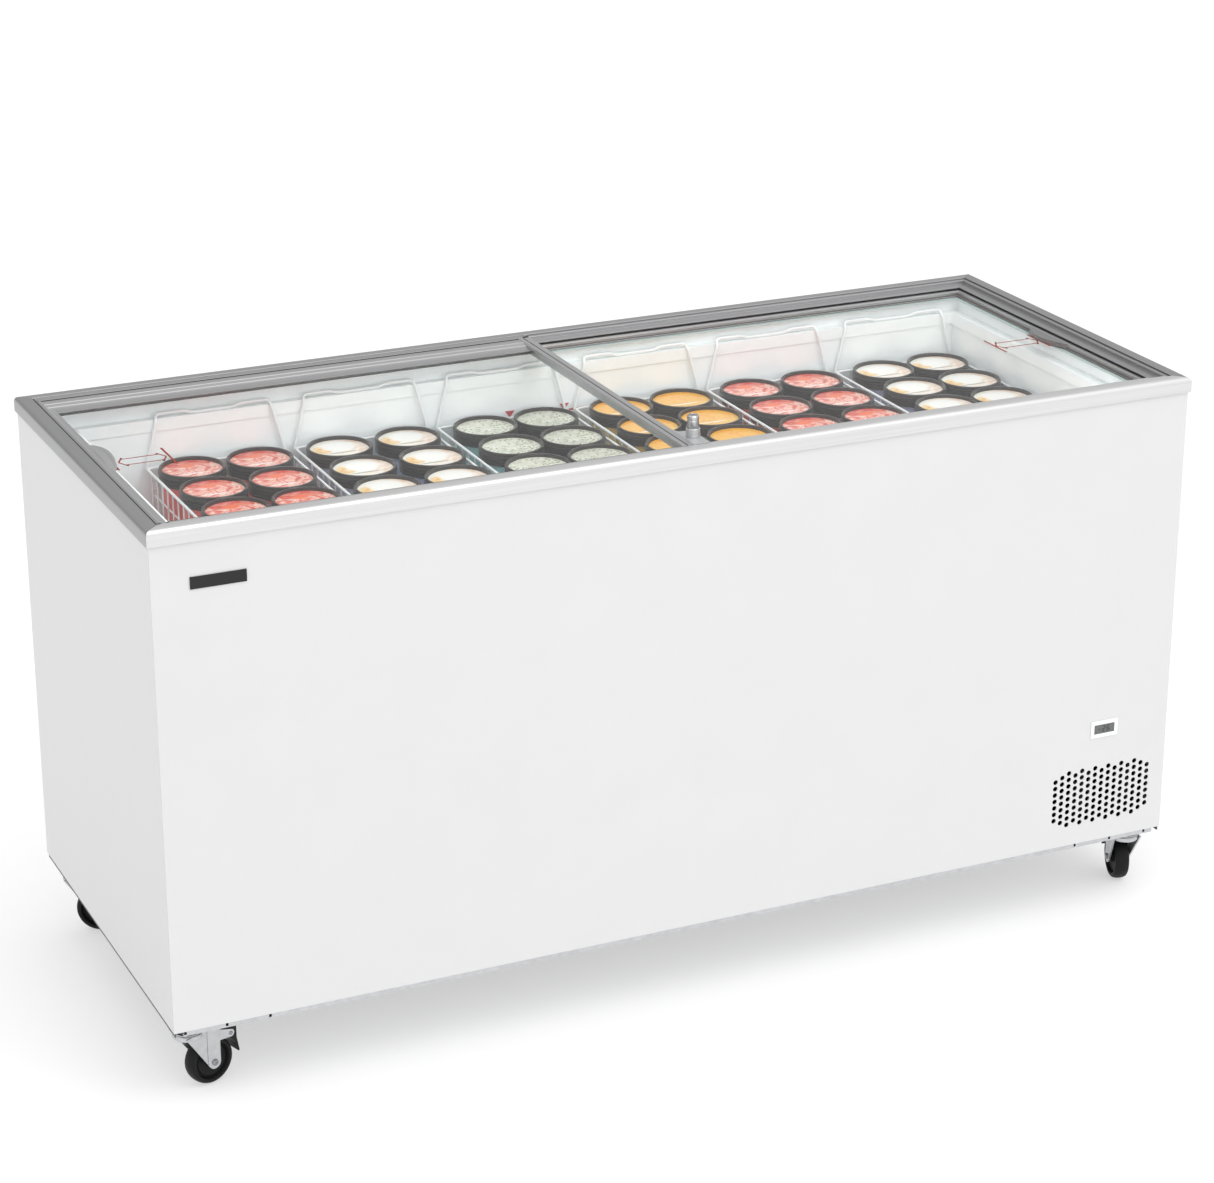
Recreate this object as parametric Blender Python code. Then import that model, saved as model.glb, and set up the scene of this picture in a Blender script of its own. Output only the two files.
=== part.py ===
"""Ice cream display cabinet: a chest freezer with two flat sliding glass lids and hanging wire baskets.

Metres, +Z up. The origin is on the floor at the middle of the footprint, and the front faces -Y.
The upper lid covers the left half and slides to +X; the lower lid covers the right half and
slides to -X beneath it. Six baskets hang from the throat, and four swivel castors carry it all.
"""
import math

import bmesh
import bpy
from mathutils import Matrix, Vector

GAP = 0.0003                                   # clearance between neighbouring pieces

# Driving dimensions of the cabinet
TOP = 0.889                                    # top of the collar round the lids
COLLAR_BASE = 0.865
BODY_X, BODY_Y = 0.841, 0.3334                 # half length and half depth of the steel body
BODY_BASE = 0.1205
SHEET = 0.0015                                 # steel sheet
COLLAR_Y = 0.337                               # half depth over the collar
MITRE = 0.5075                                 # collar half length less its half depth
LINER_X, LINER_Y = 0.772, 0.268                # inside faces of the liner
LINER_FLOOR, STEP_X, STEP_TOP = 0.190, 0.500, 0.400
BAY_X, BAY_TOP = 0.575, 0.355                  # machine bay at the right-hand end
RAIL_BASE = 0.1135
DRAIN_AT = (-0.62, 0.0)                        # drain hole in the liner's floor
CLEAR_Z = 0.95                                 # a height above everything, for cutting tools
LINER_TOP = 0.8415

# Lids, as depths below the collar top
FRAME_BASE, FRAME_TOP = 0.0072, 0.0004
UPPER_GLASS = (0.0109, 0.0075)
LOWER_GLASS = (0.0224, 0.0190)
LOWER_TOP, LOWER_BASE = 0.0114, 0.0242
LOCK_AT = (0.0165, -0.2625)

# Baskets
BASKETS, BASKET_PITCH, FIRST_BASKET_X = 6, 0.2411, -0.551
BASKET_X, BASKET_Y = 0.1145, 0.2625            # half sizes over the wires
BASKET_BASE, BASKET_RIM, WIRE = 0.548, 0.770, 0.0046
GRIP_Z, SHOULDER_Z, HANGER_Y = 0.8465, 0.8507, 0.2705

# Castors: swivel axes, trail and wheel
CASTOR_X, CASTOR_Y, TRAIL = 0.807, 0.286, 0.0343
WHEEL_R, WHEEL_HALF = 0.0375, 0.0120
CROWN_BASE, CROWN_TOP = 0.0860, 0.0960
PEDAL_T, PEDAL_Z = 0.0643, 0.0750              # brake pedal's pivot

LOOKS = {                                      # sRGB colour, roughness, metallic
    "panel_white": ("#EEEEEE", 0.35, 0.0),
    "collar_grey": ("#A9A9AA", 0.40, 0.6),
    "trim_white": ("#F1F1F0", 0.45, 0.0),
    "liner_white": ("#E6E8EA", 0.40, 0.3),
    "zinc": ("#C9CACB", 0.35, 0.9),
    "foam": ("#E9DFB4", 0.90, 0.0),
    "glass": ("#DCE6E2", 0.03, 0.0),
    "frame_grey": ("#A8A8A8", 0.40, 0.6),
    "satin_grey": ("#A0A0A0", 0.42, 0.4),
    "steel": ("#C4C5C6", 0.25, 1.0),
    "black_plastic": ("#141414", 0.50, 0.0),
    "black_rubber": ("#1B1B1C", 0.60, 0.0),
    "basket_white": ("#F2F2F1", 0.40, 0.0),
    "screen": ("#A9B3AE", 0.20, 0.0),
    "bezel": ("#F4F4F4", 0.40, 0.0),
    "black_enamel": ("#202123", 0.35, 0.2),
    "copper": ("#B87348", 0.35, 1.0),
}


def clear_scene():
    """Remove every object that the open file holds."""
    for obj in list(bpy.data.objects):
        bpy.data.objects.remove(obj, do_unlink=True)


def linear(value):
    """Turn one sRGB channel, 0 to 1, into its linear value."""
    return value / 12.92 if value <= 0.04045 else ((value + 0.055) / 1.055) ** 2.4


def material(look):
    """Return the Principled material for one entry of LOOKS, made on first use."""
    if look in bpy.data.materials:
        return bpy.data.materials[look]
    colour, roughness, metallic = LOOKS[look]
    made = bpy.data.materials.new(look)
    made.use_nodes = True
    shader = made.node_tree.nodes["Principled BSDF"]
    rgb = [linear(int(colour[i:i + 2], 16) / 255) for i in (1, 3, 5)]
    shader.inputs["Base Color"].default_value = (*rgb, 1.0)
    shader.inputs["Roughness"].default_value = roughness
    shader.inputs["Metallic"].default_value = metallic
    return made


def add(name, bm, look, origin=(0, 0, 0), parent=None):
    """Make a named object from a bmesh given in the parent's frame, with its origin at `origin`."""
    bmesh.ops.recalc_face_normals(bm, faces=bm.faces)
    bmesh.ops.translate(bm, verts=bm.verts, vec=-Vector(origin))
    mesh = bpy.data.meshes.new(name)
    bm.to_mesh(mesh)
    bm.free()
    mesh.shade_smooth()
    mesh.set_sharp_from_angle(angle=math.radians(30))
    mesh.materials.append(material(look))
    return place(name, mesh, origin, parent)


def place(name, mesh, origin, parent=None):
    """Link an object that uses `mesh` at `origin` in its parent's frame."""
    obj = bpy.data.objects.new(name, mesh)
    obj.location = origin
    obj.parent = parent
    bpy.context.scene.collection.objects.link(obj)
    return obj


# Shapes -------------------------------------------------------------------------------------

def box(low, high):
    """A box between two opposite corners."""
    bm = bmesh.new()
    size = [b - a for a, b in zip(low, high)]
    middle = [(a + b) / 2 for a, b in zip(low, high)]
    bmesh.ops.create_cube(bm, size=1.0, matrix=Matrix.Translation(middle) @ Matrix.Diagonal((*size, 1)))
    return bm


def prism(outline, low, high, holes=(), axis="Z"):
    """Extrude an outline with holes from `low` to `high`.

    The outline's two coordinates are XY for axis Z, XZ for axis Y and YZ for axis X.
    """
    bm = bmesh.new()
    for loop in (outline, *holes):
        verts = [bm.verts.new((a, b, low)) for a, b in loop]
        for i, vert in enumerate(verts):
            bm.edges.new((verts[i - 1], vert))
    bmesh.ops.triangle_fill(bm, use_beauty=True, edges=bm.edges[:])
    if not holes:
        bmesh.ops.dissolve_faces(bm, faces=bm.faces[:])
    made = bmesh.ops.extrude_face_region(bm, geom=bm.faces[:])
    moved = [item for item in made["geom"] if isinstance(item, bmesh.types.BMVert)]
    bmesh.ops.translate(bm, verts=moved, vec=(0, 0, high - low))
    turn = {"Z": Matrix(), "Y": Matrix(((1, 0, 0), (0, 0, 1), (0, 1, 0))).to_4x4(),
            "X": Matrix(((0, 0, 1), (1, 0, 0), (0, 1, 0))).to_4x4()}[axis]
    bmesh.ops.transform(bm, matrix=turn, verts=bm.verts)
    return bm


def circle(centre, radius, sides):
    """Points of a regular polygon round `centre`."""
    turns = [2 * math.pi * i / sides for i in range(sides)]
    return [(centre[0] + radius * math.cos(a), centre[1] + radius * math.sin(a)) for a in turns]


def arc(centre, radius, first, last, steps):
    """Points on an arc, with both ends, between two angles in degrees."""
    turns = [math.radians(first + (last - first) * i / steps) for i in range(steps + 1)]
    return [(centre[0] + radius * math.cos(a), centre[1] + radius * math.sin(a)) for a in turns]


def turned(profile, sides, axis="Z", at=(0, 0, 0)):
    """Turn a closed profile of (radius, height) points; points at radius 0 close on the axis."""
    bm = bmesh.new()
    rows = []
    for radius, height in profile:
        if radius == 0:
            rows.append([bm.verts.new((0, 0, height))] * sides)
        else:
            rows.append([bm.verts.new((x, y, height)) for x, y in circle((0, 0), radius, sides)])
    for i, row in enumerate(rows):
        before = rows[i - 1]
        for k in range(sides):
            loop = (before[k - 1], before[k], row[k], row[k - 1])
            corners = list(dict.fromkeys(loop))
            if len(corners) > 2:
                bm.faces.new(corners)
    turn = {"Z": Matrix(), "Y": Matrix.Rotation(math.pi / 2, 4, "X"),
            "X": Matrix.Rotation(math.pi / 2, 4, "Y")}[axis]
    bmesh.ops.transform(bm, matrix=Matrix.Translation(at) @ turn, verts=bm.verts)
    return bm


def cylinder(centre, radius, low, high, sides=24, axis="Z"):
    """A round bar along Z or Y; `centre` gives the other two coordinates."""
    profile = [(0, low), (radius, low), (radius, high), (0, high)]
    if axis == "Z":
        return turned(profile, sides, "Z", (*centre, 0))
    return turned([(r, -h) for r, h in profile], sides, "Y", (centre[0], 0, centre[1]))


def ring(left, right, depth, heights):
    """A closed rectangular ring with mitred corners.

    Profile point i lies at x = left[i] and right[i], at y = -depth[i] and +depth[i], at z = heights[i].
    """
    bm = bmesh.new()
    corners = []
    for side_x, sign_y in ((left, -1), (right, -1), (right, 1), (left, 1)):
        points = zip(side_x, depth, heights)
        corners.append([bm.verts.new((x, sign_y * y, z)) for x, y, z in points])
    for c in range(4):
        for i in range(len(heights)):
            bm.faces.new((corners[c - 1][i - 1], corners[c - 1][i], corners[c][i], corners[c][i - 1]))
    return bm


def tube(points, radius, sides=6):
    """A round wire along a chain of points, with flat ends and mitred bends."""
    bm = bmesh.new()
    points = [Vector(p) for p in points]
    rows = []
    side = None
    for i, point in enumerate(points):
        ahead = (points[min(i + 1, len(points) - 1)] - point).normalized()
        behind = (point - points[max(i - 1, 0)]).normalized()
        along = (ahead + behind).normalized()
        stretch = 1.0 if ahead.length == 0 or behind.length == 0 else 1 / max(0.5, along.dot(ahead))
        if side is None:
            side = along.orthogonal().normalized()
        side = (side - along * side.dot(along)).normalized()
        up = along.cross(side)
        bend = (ahead - behind)
        row = []
        for k in range(sides):
            turn = 2 * math.pi * k / sides
            offset = side * math.cos(turn) + up * math.sin(turn)
            if bend.length > 1e-6:
                inward = bend.normalized()
                offset += inward * offset.dot(inward) * (stretch - 1)
            row.append(bm.verts.new(point + offset * radius))
        rows.append(row)
    for first, second in zip(rows, rows[1:]):
        for k in range(sides):
            bm.faces.new((first[k - 1], first[k], second[k], second[k - 1]))
    bm.faces.new(rows[0])
    bm.faces.new(rows[-1])
    return bm


def boolean(base, tool, operation):
    """Combine two bmeshes with an exact Boolean and return the result; both operands are used up."""
    operands = []
    for bm in (base, tool):
        bmesh.ops.recalc_face_normals(bm, faces=bm.faces)
        mesh = bpy.data.meshes.new("operand")
        bm.to_mesh(mesh)
        bm.free()
        operands.append(place("operand", mesh, (0, 0, 0)))
    modifier = operands[0].modifiers.new("combine", "BOOLEAN")
    modifier.operation = operation
    modifier.object = operands[1]
    graph = bpy.context.evaluated_depsgraph_get()
    result = bmesh.new()
    result.from_mesh(operands[0].evaluated_get(graph).to_mesh())
    for obj in operands:
        bpy.data.objects.remove(obj, do_unlink=True)
    bmesh.ops.remove_doubles(result, verts=result.verts, dist=1e-6)
    return result


def union(first, *others):
    """Join overlapping bmeshes into one body."""
    for other in others:
        first = boolean(first, other, "UNION")
    return first


def cut(first, *tools):
    """Cut each tool out of a body."""
    for tool in tools:
        first = boolean(first, tool, "DIFFERENCE")
    return first


# Steel body ---------------------------------------------------------------------------------

def vent_holes():
    """Six-sided holes of the machine bay's vent: staggered columns, nine high in the middle."""
    columns, pitch_x, pitch_z, middle_z, radius = 15, 0.01236, 0.01133, 0.203, 0.00375
    holes = []
    for column in range(columns):
        x = BODY_X - 0.032 - pitch_x * column
        at_end = column in (0, columns - 1)
        count = 7 if at_end else 8 + (column + 1) % 2
        for i in range(count):
            z = middle_z + (i - (count - 1) / 2) * pitch_z
            holes.append(circle((x, z), radius, 6))
    return holes


def rectangle(left, low, right, high):
    """Corners of an upright rectangle."""
    return [(left, low), (right, low), (right, high), (left, high)]


def build_body():
    """Outer panels, pan, rails, foam, liner, throat trim and collar."""
    panel_top = COLLAR_BASE - GAP
    front = rectangle(-BODY_X, BODY_BASE, BODY_X, panel_top)
    add("front_panel", prism(front, -BODY_Y, -BODY_Y + SHEET, vent_holes(), "Y"), "panel_white")
    add("rear_panel", prism(front, BODY_Y - SHEET, BODY_Y, (), "Y"), "panel_white")
    side_y = BODY_Y - SHEET - GAP
    side_low, side_high = (BODY_X - SHEET, -side_y, BODY_BASE), (BODY_X, side_y, panel_top)
    add("right_panel", box(side_low, side_high), "panel_white")
    add("left_panel", box((-BODY_X, -side_y, BODY_BASE), (-BODY_X + SHEET, side_y, panel_top)),
        "panel_white")
    build_base(side_y)
    build_foam(side_y)
    build_liner()
    build_trim()
    build_collar()


def build_base(half_y):
    """Bottom pan with turned-down ends, and a channel rail under each long edge."""
    outer = BODY_X - SHEET - GAP
    inner = outer - SHEET
    top = BODY_BASE + SHEET
    outline = [(-outer, RAIL_BASE), (-inner, RAIL_BASE), (-inner, BODY_BASE), (inner, BODY_BASE),
               (inner, RAIL_BASE), (outer, RAIL_BASE), (outer, top), (-outer, top)]
    add("base_pan", prism(outline, -half_y, half_y, (), "Y"), "zinc")

    rail_x, front, back, rail_top = 0.8265, -0.3330, -0.2300, BODY_BASE - GAP
    web = RAIL_BASE + SHEET
    outline = [(front, rail_top), (front, RAIL_BASE), (back, RAIL_BASE), (back, rail_top),
               (back - SHEET, rail_top), (back - SHEET, web), (front + SHEET, web),
               (front + SHEET, rail_top)]
    rail = prism(outline, -rail_x, rail_x, (), "X")
    notches = [0.017 - BODY_X, 0.080 - BODY_X, 0.146 - BODY_X,
               BODY_X - 0.162, BODY_X - 0.096, BODY_X - 0.030]
    for x in notches:
        rail = cut(rail, box((x - 0.002, front - 0.01, web + 0.0005),
                             (x + 0.002, front + SHEET + 0.001, rail_top + 0.01)))
    add("base_rail_front", rail, "zinc")
    mirrored = [(-y, z) for y, z in outline]
    add("base_rail_rear", prism(mirrored, -rail_x, rail_x, (), "X"), "zinc")


def build_foam(half_y):
    """Foamed-in insulation: a block with the liner's pocket, the throat's rebate and the bay."""
    outer = BODY_X - SHEET - 2 * GAP
    half_y -= GAP
    band = 0.0030                              # the evaporator band's thickness
    pocket_x, pocket_y = LINER_X + SHEET + 2 * GAP + band, LINER_Y + SHEET + 2 * GAP + band
    step = SHEET + GAP
    profile = [(-pocket_x, LINER_FLOOR - step), (STEP_X + step, LINER_FLOOR - step),
               (STEP_X + step, STEP_TOP - step), (pocket_x, STEP_TOP - step),
               (pocket_x, CLEAR_Z), (-pocket_x, CLEAR_Z)]
    foam_top, rebate_x, rebate_y = COLLAR_BASE - 0.003, 0.790, 0.2815
    block = box((-outer, -half_y, BODY_BASE + SHEET + GAP), (outer, half_y, foam_top))
    block = cut(block,
                prism(profile, -pocket_y, pocket_y, (), "Y"),
                box((-rebate_x, -rebate_y, LINER_TOP), (rebate_x, rebate_y, CLEAR_Z)),
                box((BAY_X, -0.4, 0.05), (0.9, 0.4, BAY_TOP)),
                cylinder(DRAIN_AT, 0.0125, 0.170, 0.250, 12))
    add("foam_insulation", block, "foam")
    offsets = [step, step, step + band, step + band]
    xs, ys = [LINER_X + o for o in offsets], [LINER_Y + o for o in offsets]
    add("evaporator_band", ring([-x for x in xs], xs, ys, [0.50, 0.80, 0.80, 0.50]), "copper")


def build_liner():
    """Thin inner tub with a raised floor over the machine bay, and the drain plug in its floor."""
    def tub(grow, roof):
        return [(-LINER_X - grow, LINER_FLOOR - grow), (STEP_X + grow, LINER_FLOOR - grow),
                (STEP_X + grow, STEP_TOP - grow), (LINER_X + grow, STEP_TOP - grow),
                (LINER_X + grow, roof), (-LINER_X - grow, roof)]

    shell = prism(tub(SHEET, LINER_TOP), -LINER_Y - SHEET, LINER_Y + SHEET, (), "Y")
    shell = cut(shell, prism(tub(0, CLEAR_Z), -LINER_Y, LINER_Y, (), "Y"),
                cylinder(DRAIN_AT, 0.0115, 0.17, 0.21, 12))
    add("liner", shell, "liner_white")
    floor = LINER_FLOOR + GAP
    plug = [(0, 0.178), (0.0110, 0.178), (0.0110, floor), (0.0160, floor), (0.0160, floor + 0.003),
            (0.0145, floor + 0.004), (0, floor + 0.004)]
    add("drain_plug", turned(plug, 12, "Z", (*DRAIN_AT, 0)), "black_rubber")


def build_trim():
    """Folded throat trim: top flange, upper wall, ledge that the baskets hang on, and lower lip."""
    thick, ledge, lip = 0.0016, 0.8437, 0.8245
    flange = COLLAR_BASE - 0.0005
    depth = [0.2965, 0.2795, 0.2795, 0.2660, 0.2660, 0.2676, 0.2676, 0.2811, 0.2811, 0.2965]
    length = [0.8038, 0.7880, 0.7880, 0.7680, 0.7680, 0.7696, 0.7696, 0.7896, 0.7896, 0.8038]
    heights = [flange, flange, ledge, ledge, lip, lip, ledge - thick, ledge - thick,
               flange - thick, flange - thick]
    add("throat_trim", ring([-x for x in length], length, depth, heights), "trim_white")


def collar_profile(shelf):
    """Collar section as (half depth, z), with the slot, fin and shelf that carry the upper lid."""
    edge = arc((COLLAR_Y - 0.006, TOP - 0.006), 0.006, 0, 90, 4)
    slot, fin = TOP - 0.005, TOP - 0.002
    shelf_top, shelf_base = TOP - 0.0075, TOP - 0.009
    return [(0.297, COLLAR_BASE), (COLLAR_Y, COLLAR_BASE), *edge, (0.3145, TOP), (0.3145, slot),
            (0.3125, slot), (0.3125, fin), (0.3055, fin), (0.3055, shelf_top),
            (shelf, shelf_top), (shelf, shelf_base), (0.297, shelf_base)]


def mitred_bar(profile, shift, reach, along_x):
    """A bar with 45-degree ends.

    Profile point (u, z) lies u + shift off the centre line, and the bar ends at u + reach.
    """
    bm = bmesh.new()
    rows = []
    for sign in (-1, 1):
        row = []
        for u, z in profile:
            across, along = u + shift, sign * (u + reach)
            row.append(bm.verts.new((along, across, z) if along_x else (across, along, z)))
        rows.append(row)
    for i in range(len(profile)):
        bm.faces.new((rows[0][i - 1], rows[0][i], rows[1][i], rows[1][i - 1]))
    bm.faces.new(rows[0])
    bm.faces.new(rows[1])
    return bm


def mirrored(bm, axis):
    """Mirror a bmesh through the plane where `axis` is 0."""
    scale = {"X": (-1, 1, 1, 1), "Y": (1, -1, 1, 1)}[axis]
    bmesh.ops.transform(bm, matrix=Matrix.Diagonal(scale), verts=bm.verts)
    bmesh.ops.reverse_faces(bm, faces=bm.faces)
    return bm


def build_collar():
    """Four mitred collar members; the left one has a narrower shelf, under the fixed glass edge."""
    relief = 0.00025
    wide, narrow = collar_profile(0.2875), collar_profile(0.2960)
    add("collar_rear", mitred_bar(wide, 0, MITRE - relief, True), "collar_grey")
    add("collar_front", mirrored(mitred_bar(wide, 0, MITRE - relief, True), "Y"), "collar_grey")
    add("collar_right", mitred_bar(wide, MITRE, -relief, False), "collar_grey")
    add("collar_left", mirrored(mitred_bar(narrow, MITRE, -relief, False), "X"), "collar_grey")


# Fittings on the front and in the machine bay --------------------------------------------------

def build_fittings():
    """Display, badge plate, refrigeration machine and cord gland."""
    face = -BODY_Y - GAP
    left, right, low, high = BODY_X - 0.144, BODY_X - 0.095, 0.303, 0.331
    window = rectangle(left + 0.0055, low + 0.006, right - 0.0055, high - 0.006)
    bezel = prism(rectangle(left, low, right, high), face - 0.0018, face, [window], "Y")
    add("display_bezel", bezel, "bezel")
    add("display_screen", box((left + 0.0058, face - 0.0012, low + 0.0063),
                              (right - 0.0058, face, high - 0.0063)), "screen")
    add("badge_plate", box((0.056 - BODY_X, face - 0.0012, 0.796), (0.138 - BODY_X, face, 0.814)),
        "black_enamel")

    pan = BODY_BASE + SHEET + GAP
    middle_x, fan_z = 0.7225, 0.215
    fins, fin_pitch, fin = 14, 0.0145, 0.0025
    comb = [(middle_x - 0.101, -0.255)]
    for i in range(fins):
        x = middle_x - 0.0956 + i * fin_pitch
        comb += [(x, -0.262), (x, -0.310), (x + fin, -0.310), (x + fin, -0.262)]
    comb += [(middle_x + 0.101, -0.255)]
    add("condenser", prism(comb, pan, 0.290), "black_enamel")

    shroud = rectangle(middle_x - 0.098, pan, middle_x + 0.098, 0.310)
    opening = circle((middle_x, fan_z), 0.077, 24)
    add("fan_shroud", prism(shroud, -0.2470, -0.2450, [opening], "Y"), "black_enamel")

    hub = [(0, -0.232), (0.020, -0.232), (0.022, -0.230), (0.022, -0.212), (0.0035, -0.212),
           (0.0035, -0.226), (0, -0.226)]
    fan = turned([(r, -y) for r, y in hub], 20, "Y", (middle_x, 0, fan_z))
    blades = bmesh.new()
    for k in range(5):
        blade = box((-0.017, -0.0011, 0.019), (0.017, 0.0011, 0.073))
        turn = Matrix.Rotation(2 * math.pi * k / 5, 4, "Y") @ Matrix.Rotation(math.radians(26), 4, "Z")
        bmesh.ops.transform(blade, matrix=Matrix.Translation((middle_x, -0.2205, fan_z)) @ turn,
                            verts=blade.verts)
        part = bpy.data.meshes.new("blade")
        blade.to_mesh(part)
        blade.free()
        blades.from_mesh(part)
    add("fan_blade", union(fan, blades), "black_plastic", (middle_x, -0.2205, fan_z))

    motor = [(0, -0.224), (0.0030, -0.224), (0.0030, -0.208), (0.030, -0.208), (0.034, -0.204),
             (0.034, -0.162), (0.030, -0.158), (0, -0.158)]
    motor = turned([(r, -y) for r, y in motor], 20, "Y", (middle_x, 0, fan_z))
    foot = box((middle_x - 0.012, -0.195, pan), (middle_x + 0.012, -0.171, fan_z - 0.02))
    add("fan_motor", union(motor, foot), "black_enamel")

    centre = (0.705, 0.055)
    dome = [(0, 0.126), (0.058, 0.126), (0.066, 0.138), (0.066, 0.200), (0.0695, 0.203),
            (0.0695, 0.209), (0.066, 0.212), (0.063, 0.262), (0.050, 0.286), (0.028, 0.298), (0, 0.300)]
    feet = box((centre[0] - 0.095, centre[1] - 0.060, pan), (centre[0] + 0.095, centre[1] + 0.060, 0.1275))
    add("compressor", union(turned(dome, 18, "Z", (*centre, 0)), feet), "black_enamel")

    line = [(0.645, 0.175), (0.645, 0.230), (0.680, 0.255), (0.770, 0.255), (0.800, 0.230), (0.800, 0.175)]
    pipe = tube([(x, y, 0.215) for x, y in line], 0.0035, 8)
    drier = [(0, 0.688), (0.006, 0.690), (0.011, 0.698), (0.011, 0.752), (0.006, 0.760), (0, 0.762)]
    can = turned(drier, 12, "X", (0, 0.255, 0.215))
    stand = box((0.722, 0.250, pan), (0.728, 0.260, 0.206))
    add("refrigerant_line", union(pipe, can, stand), "copper")

    top = BODY_BASE - GAP
    gland = [(0.0045, top), (0.0045, 0.1060), (0.0085, 0.1060), (0.0100, 0.1085), (0.0100, 0.1155),
             (0.0135, 0.1155), (0.0135, top)]
    add("cord_gland", turned(gland, 16, "Z", (0.705, 0.205, 0)), "black_plastic")


# Lids -------------------------------------------------------------------------------------------

def build_upper_lid():
    """Framed glass that rides on the collar's shelf, with its pull, lock sleeve, plunger and plug."""
    base, top = TOP - FRAME_BASE, TOP - FRAME_TOP
    flange = TOP - 0.0017
    left, back, front, stile = -0.8127, 0.3052, -0.3047, -0.0020
    over_left, over_back = -0.8197, 0.3122
    slope = [(back, base), (back, top), (0.3000, top), (0.2980, top - 0.0009), (0.2780, top - 0.0016),
             (0.2600, top - 0.0036), (0.2500, top - 0.0050), (0.2446, top - 0.0060), (0.2446, base)]
    rear = prism(slope, left, stile, (), "X")
    end = [(left, base), (left, top), (left + 0.0007, top - 0.0016), (-0.8013, top - 0.0056),
           (-0.8013, base)]
    end = prism(end, front, back, (), "Y")
    rim = [(over_left, front), (left + 0.0005, front), (left + 0.0005, back - 0.0005),
           (stile, back - 0.0005), (stile, over_back), (over_left, over_back)]
    rim = prism(rim, flange, top)
    sill = box((left, front, base), (stile, -0.2977, TOP - 0.0045))
    post = box((-0.0215, front, base), (stile, back, top))
    plate = box((-0.0100, -0.3000, base), (0.0270, -0.2350, TOP - 0.0035))
    frame = union(rear, end, rim, sill, post, plate)
    frame = cut(frame, cylinder(LOCK_AT, 0.0043, base - 0.01, top + 0.01, 16))
    add("upper_frame", frame, "frame_grey")
    add("upper_glass", box((-0.8028, -0.2868, TOP - UPPER_GLASS[0]),
                           (-0.0040, 0.2868, TOP - UPPER_GLASS[1])), "glass")
    pull = crescent(-0.8010, 0.0140, -0.0530, 0.0755)
    add("upper_handle", prism(pull, base, TOP + 0.0006), "satin_grey")
    build_lock()


def crescent(flat_x, bulge, low_y, high_y):
    """Outline with a straight side at x = flat_x and a round side that stands `bulge` off it."""
    half = (high_y - low_y) / 2
    radius = (half ** 2 + bulge ** 2) / (2 * abs(bulge))
    reach = math.degrees(math.asin(half / radius))
    sign = math.copysign(1, bulge)
    centre = (flat_x + bulge - sign * radius, low_y + half)
    facing = 0 if bulge > 0 else 180
    return arc(centre, radius, facing - reach, facing + reach, 12)


def build_lock():
    """Push lock: sleeve on the frame's plate, plunger through it, and the key plug in its top."""
    seat, head = TOP - 0.0035 + GAP, TOP + 0.0100
    sleeve = [(0.00915, seat), (0.0108, seat), (0.0108, head - 0.001), (0.0102, head), (0.00915, head)]
    add("lock_sleeve", turned(sleeve, 16, "Z", (*LOCK_AT, 0)), "steel")
    low, top, pocket = TOP - 0.0070, TOP + 0.0295, TOP + 0.0217
    head += GAP
    plunger = [(0, low), (0.0040, low), (0.0040, head), (0.00885, head), (0.00885, top - 0.001),
               (0.0079, top), (0.00505, top), (0.00505, pocket), (0, pocket)]
    origin = (*LOCK_AT, TOP)
    add("lock_plunger", turned(plunger, 16, "Z", (*LOCK_AT, 0)), "steel", origin)
    plug = cylinder(LOCK_AT, 0.00475, pocket + GAP, top - 0.0002, 16)
    x, y = LOCK_AT
    keyway = box((x - 0.0030, y - 0.0008, top - 0.0035), (x + 0.0030, y + 0.0008, top + 0.01))
    add("lock_plug", cut(plug, keyway), "steel", origin)


def build_lower_lid():
    """Framed glass that slides on the throat's flange, with its pull and the lock's keeper."""
    base, top, ledge = TOP - LOWER_BASE, TOP - LOWER_TOP, TOP - LOWER_GLASS[0] - GAP
    heights = [base, top, top, ledge, ledge, base]
    left = [-0.022, -0.022, -0.004, -0.004, 0.0, 0.0]
    right = [0.7945, 0.7945, 0.7885, 0.7885, 0.7845, 0.7845]
    depth = [0.2865, 0.2865, 0.2805, 0.2805, 0.2765, 0.2765]
    add("lower_frame", ring(left, right, depth, heights), "satin_grey")
    add("lower_glass", box((-0.0037, -0.2802, TOP - LOWER_GLASS[0]),
                           (0.7882, 0.2802, TOP - LOWER_GLASS[1])), "glass")
    above_glass = TOP - LOWER_GLASS[1] + GAP
    pull = crescent(0.7882, -0.0195, -0.0690, 0.0490)
    add("lower_handle", prism(pull, above_glass, TOP - 0.0117), "satin_grey")
    keeper = rectangle(-0.0037, -0.2802, 0.0270, -0.2400)
    hole = circle(LOCK_AT, 0.0045, 16)
    add("lock_keeper", prism(keeper, above_glass, top, [hole]), "steel")


# Baskets ----------------------------------------------------------------------------------------

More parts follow.
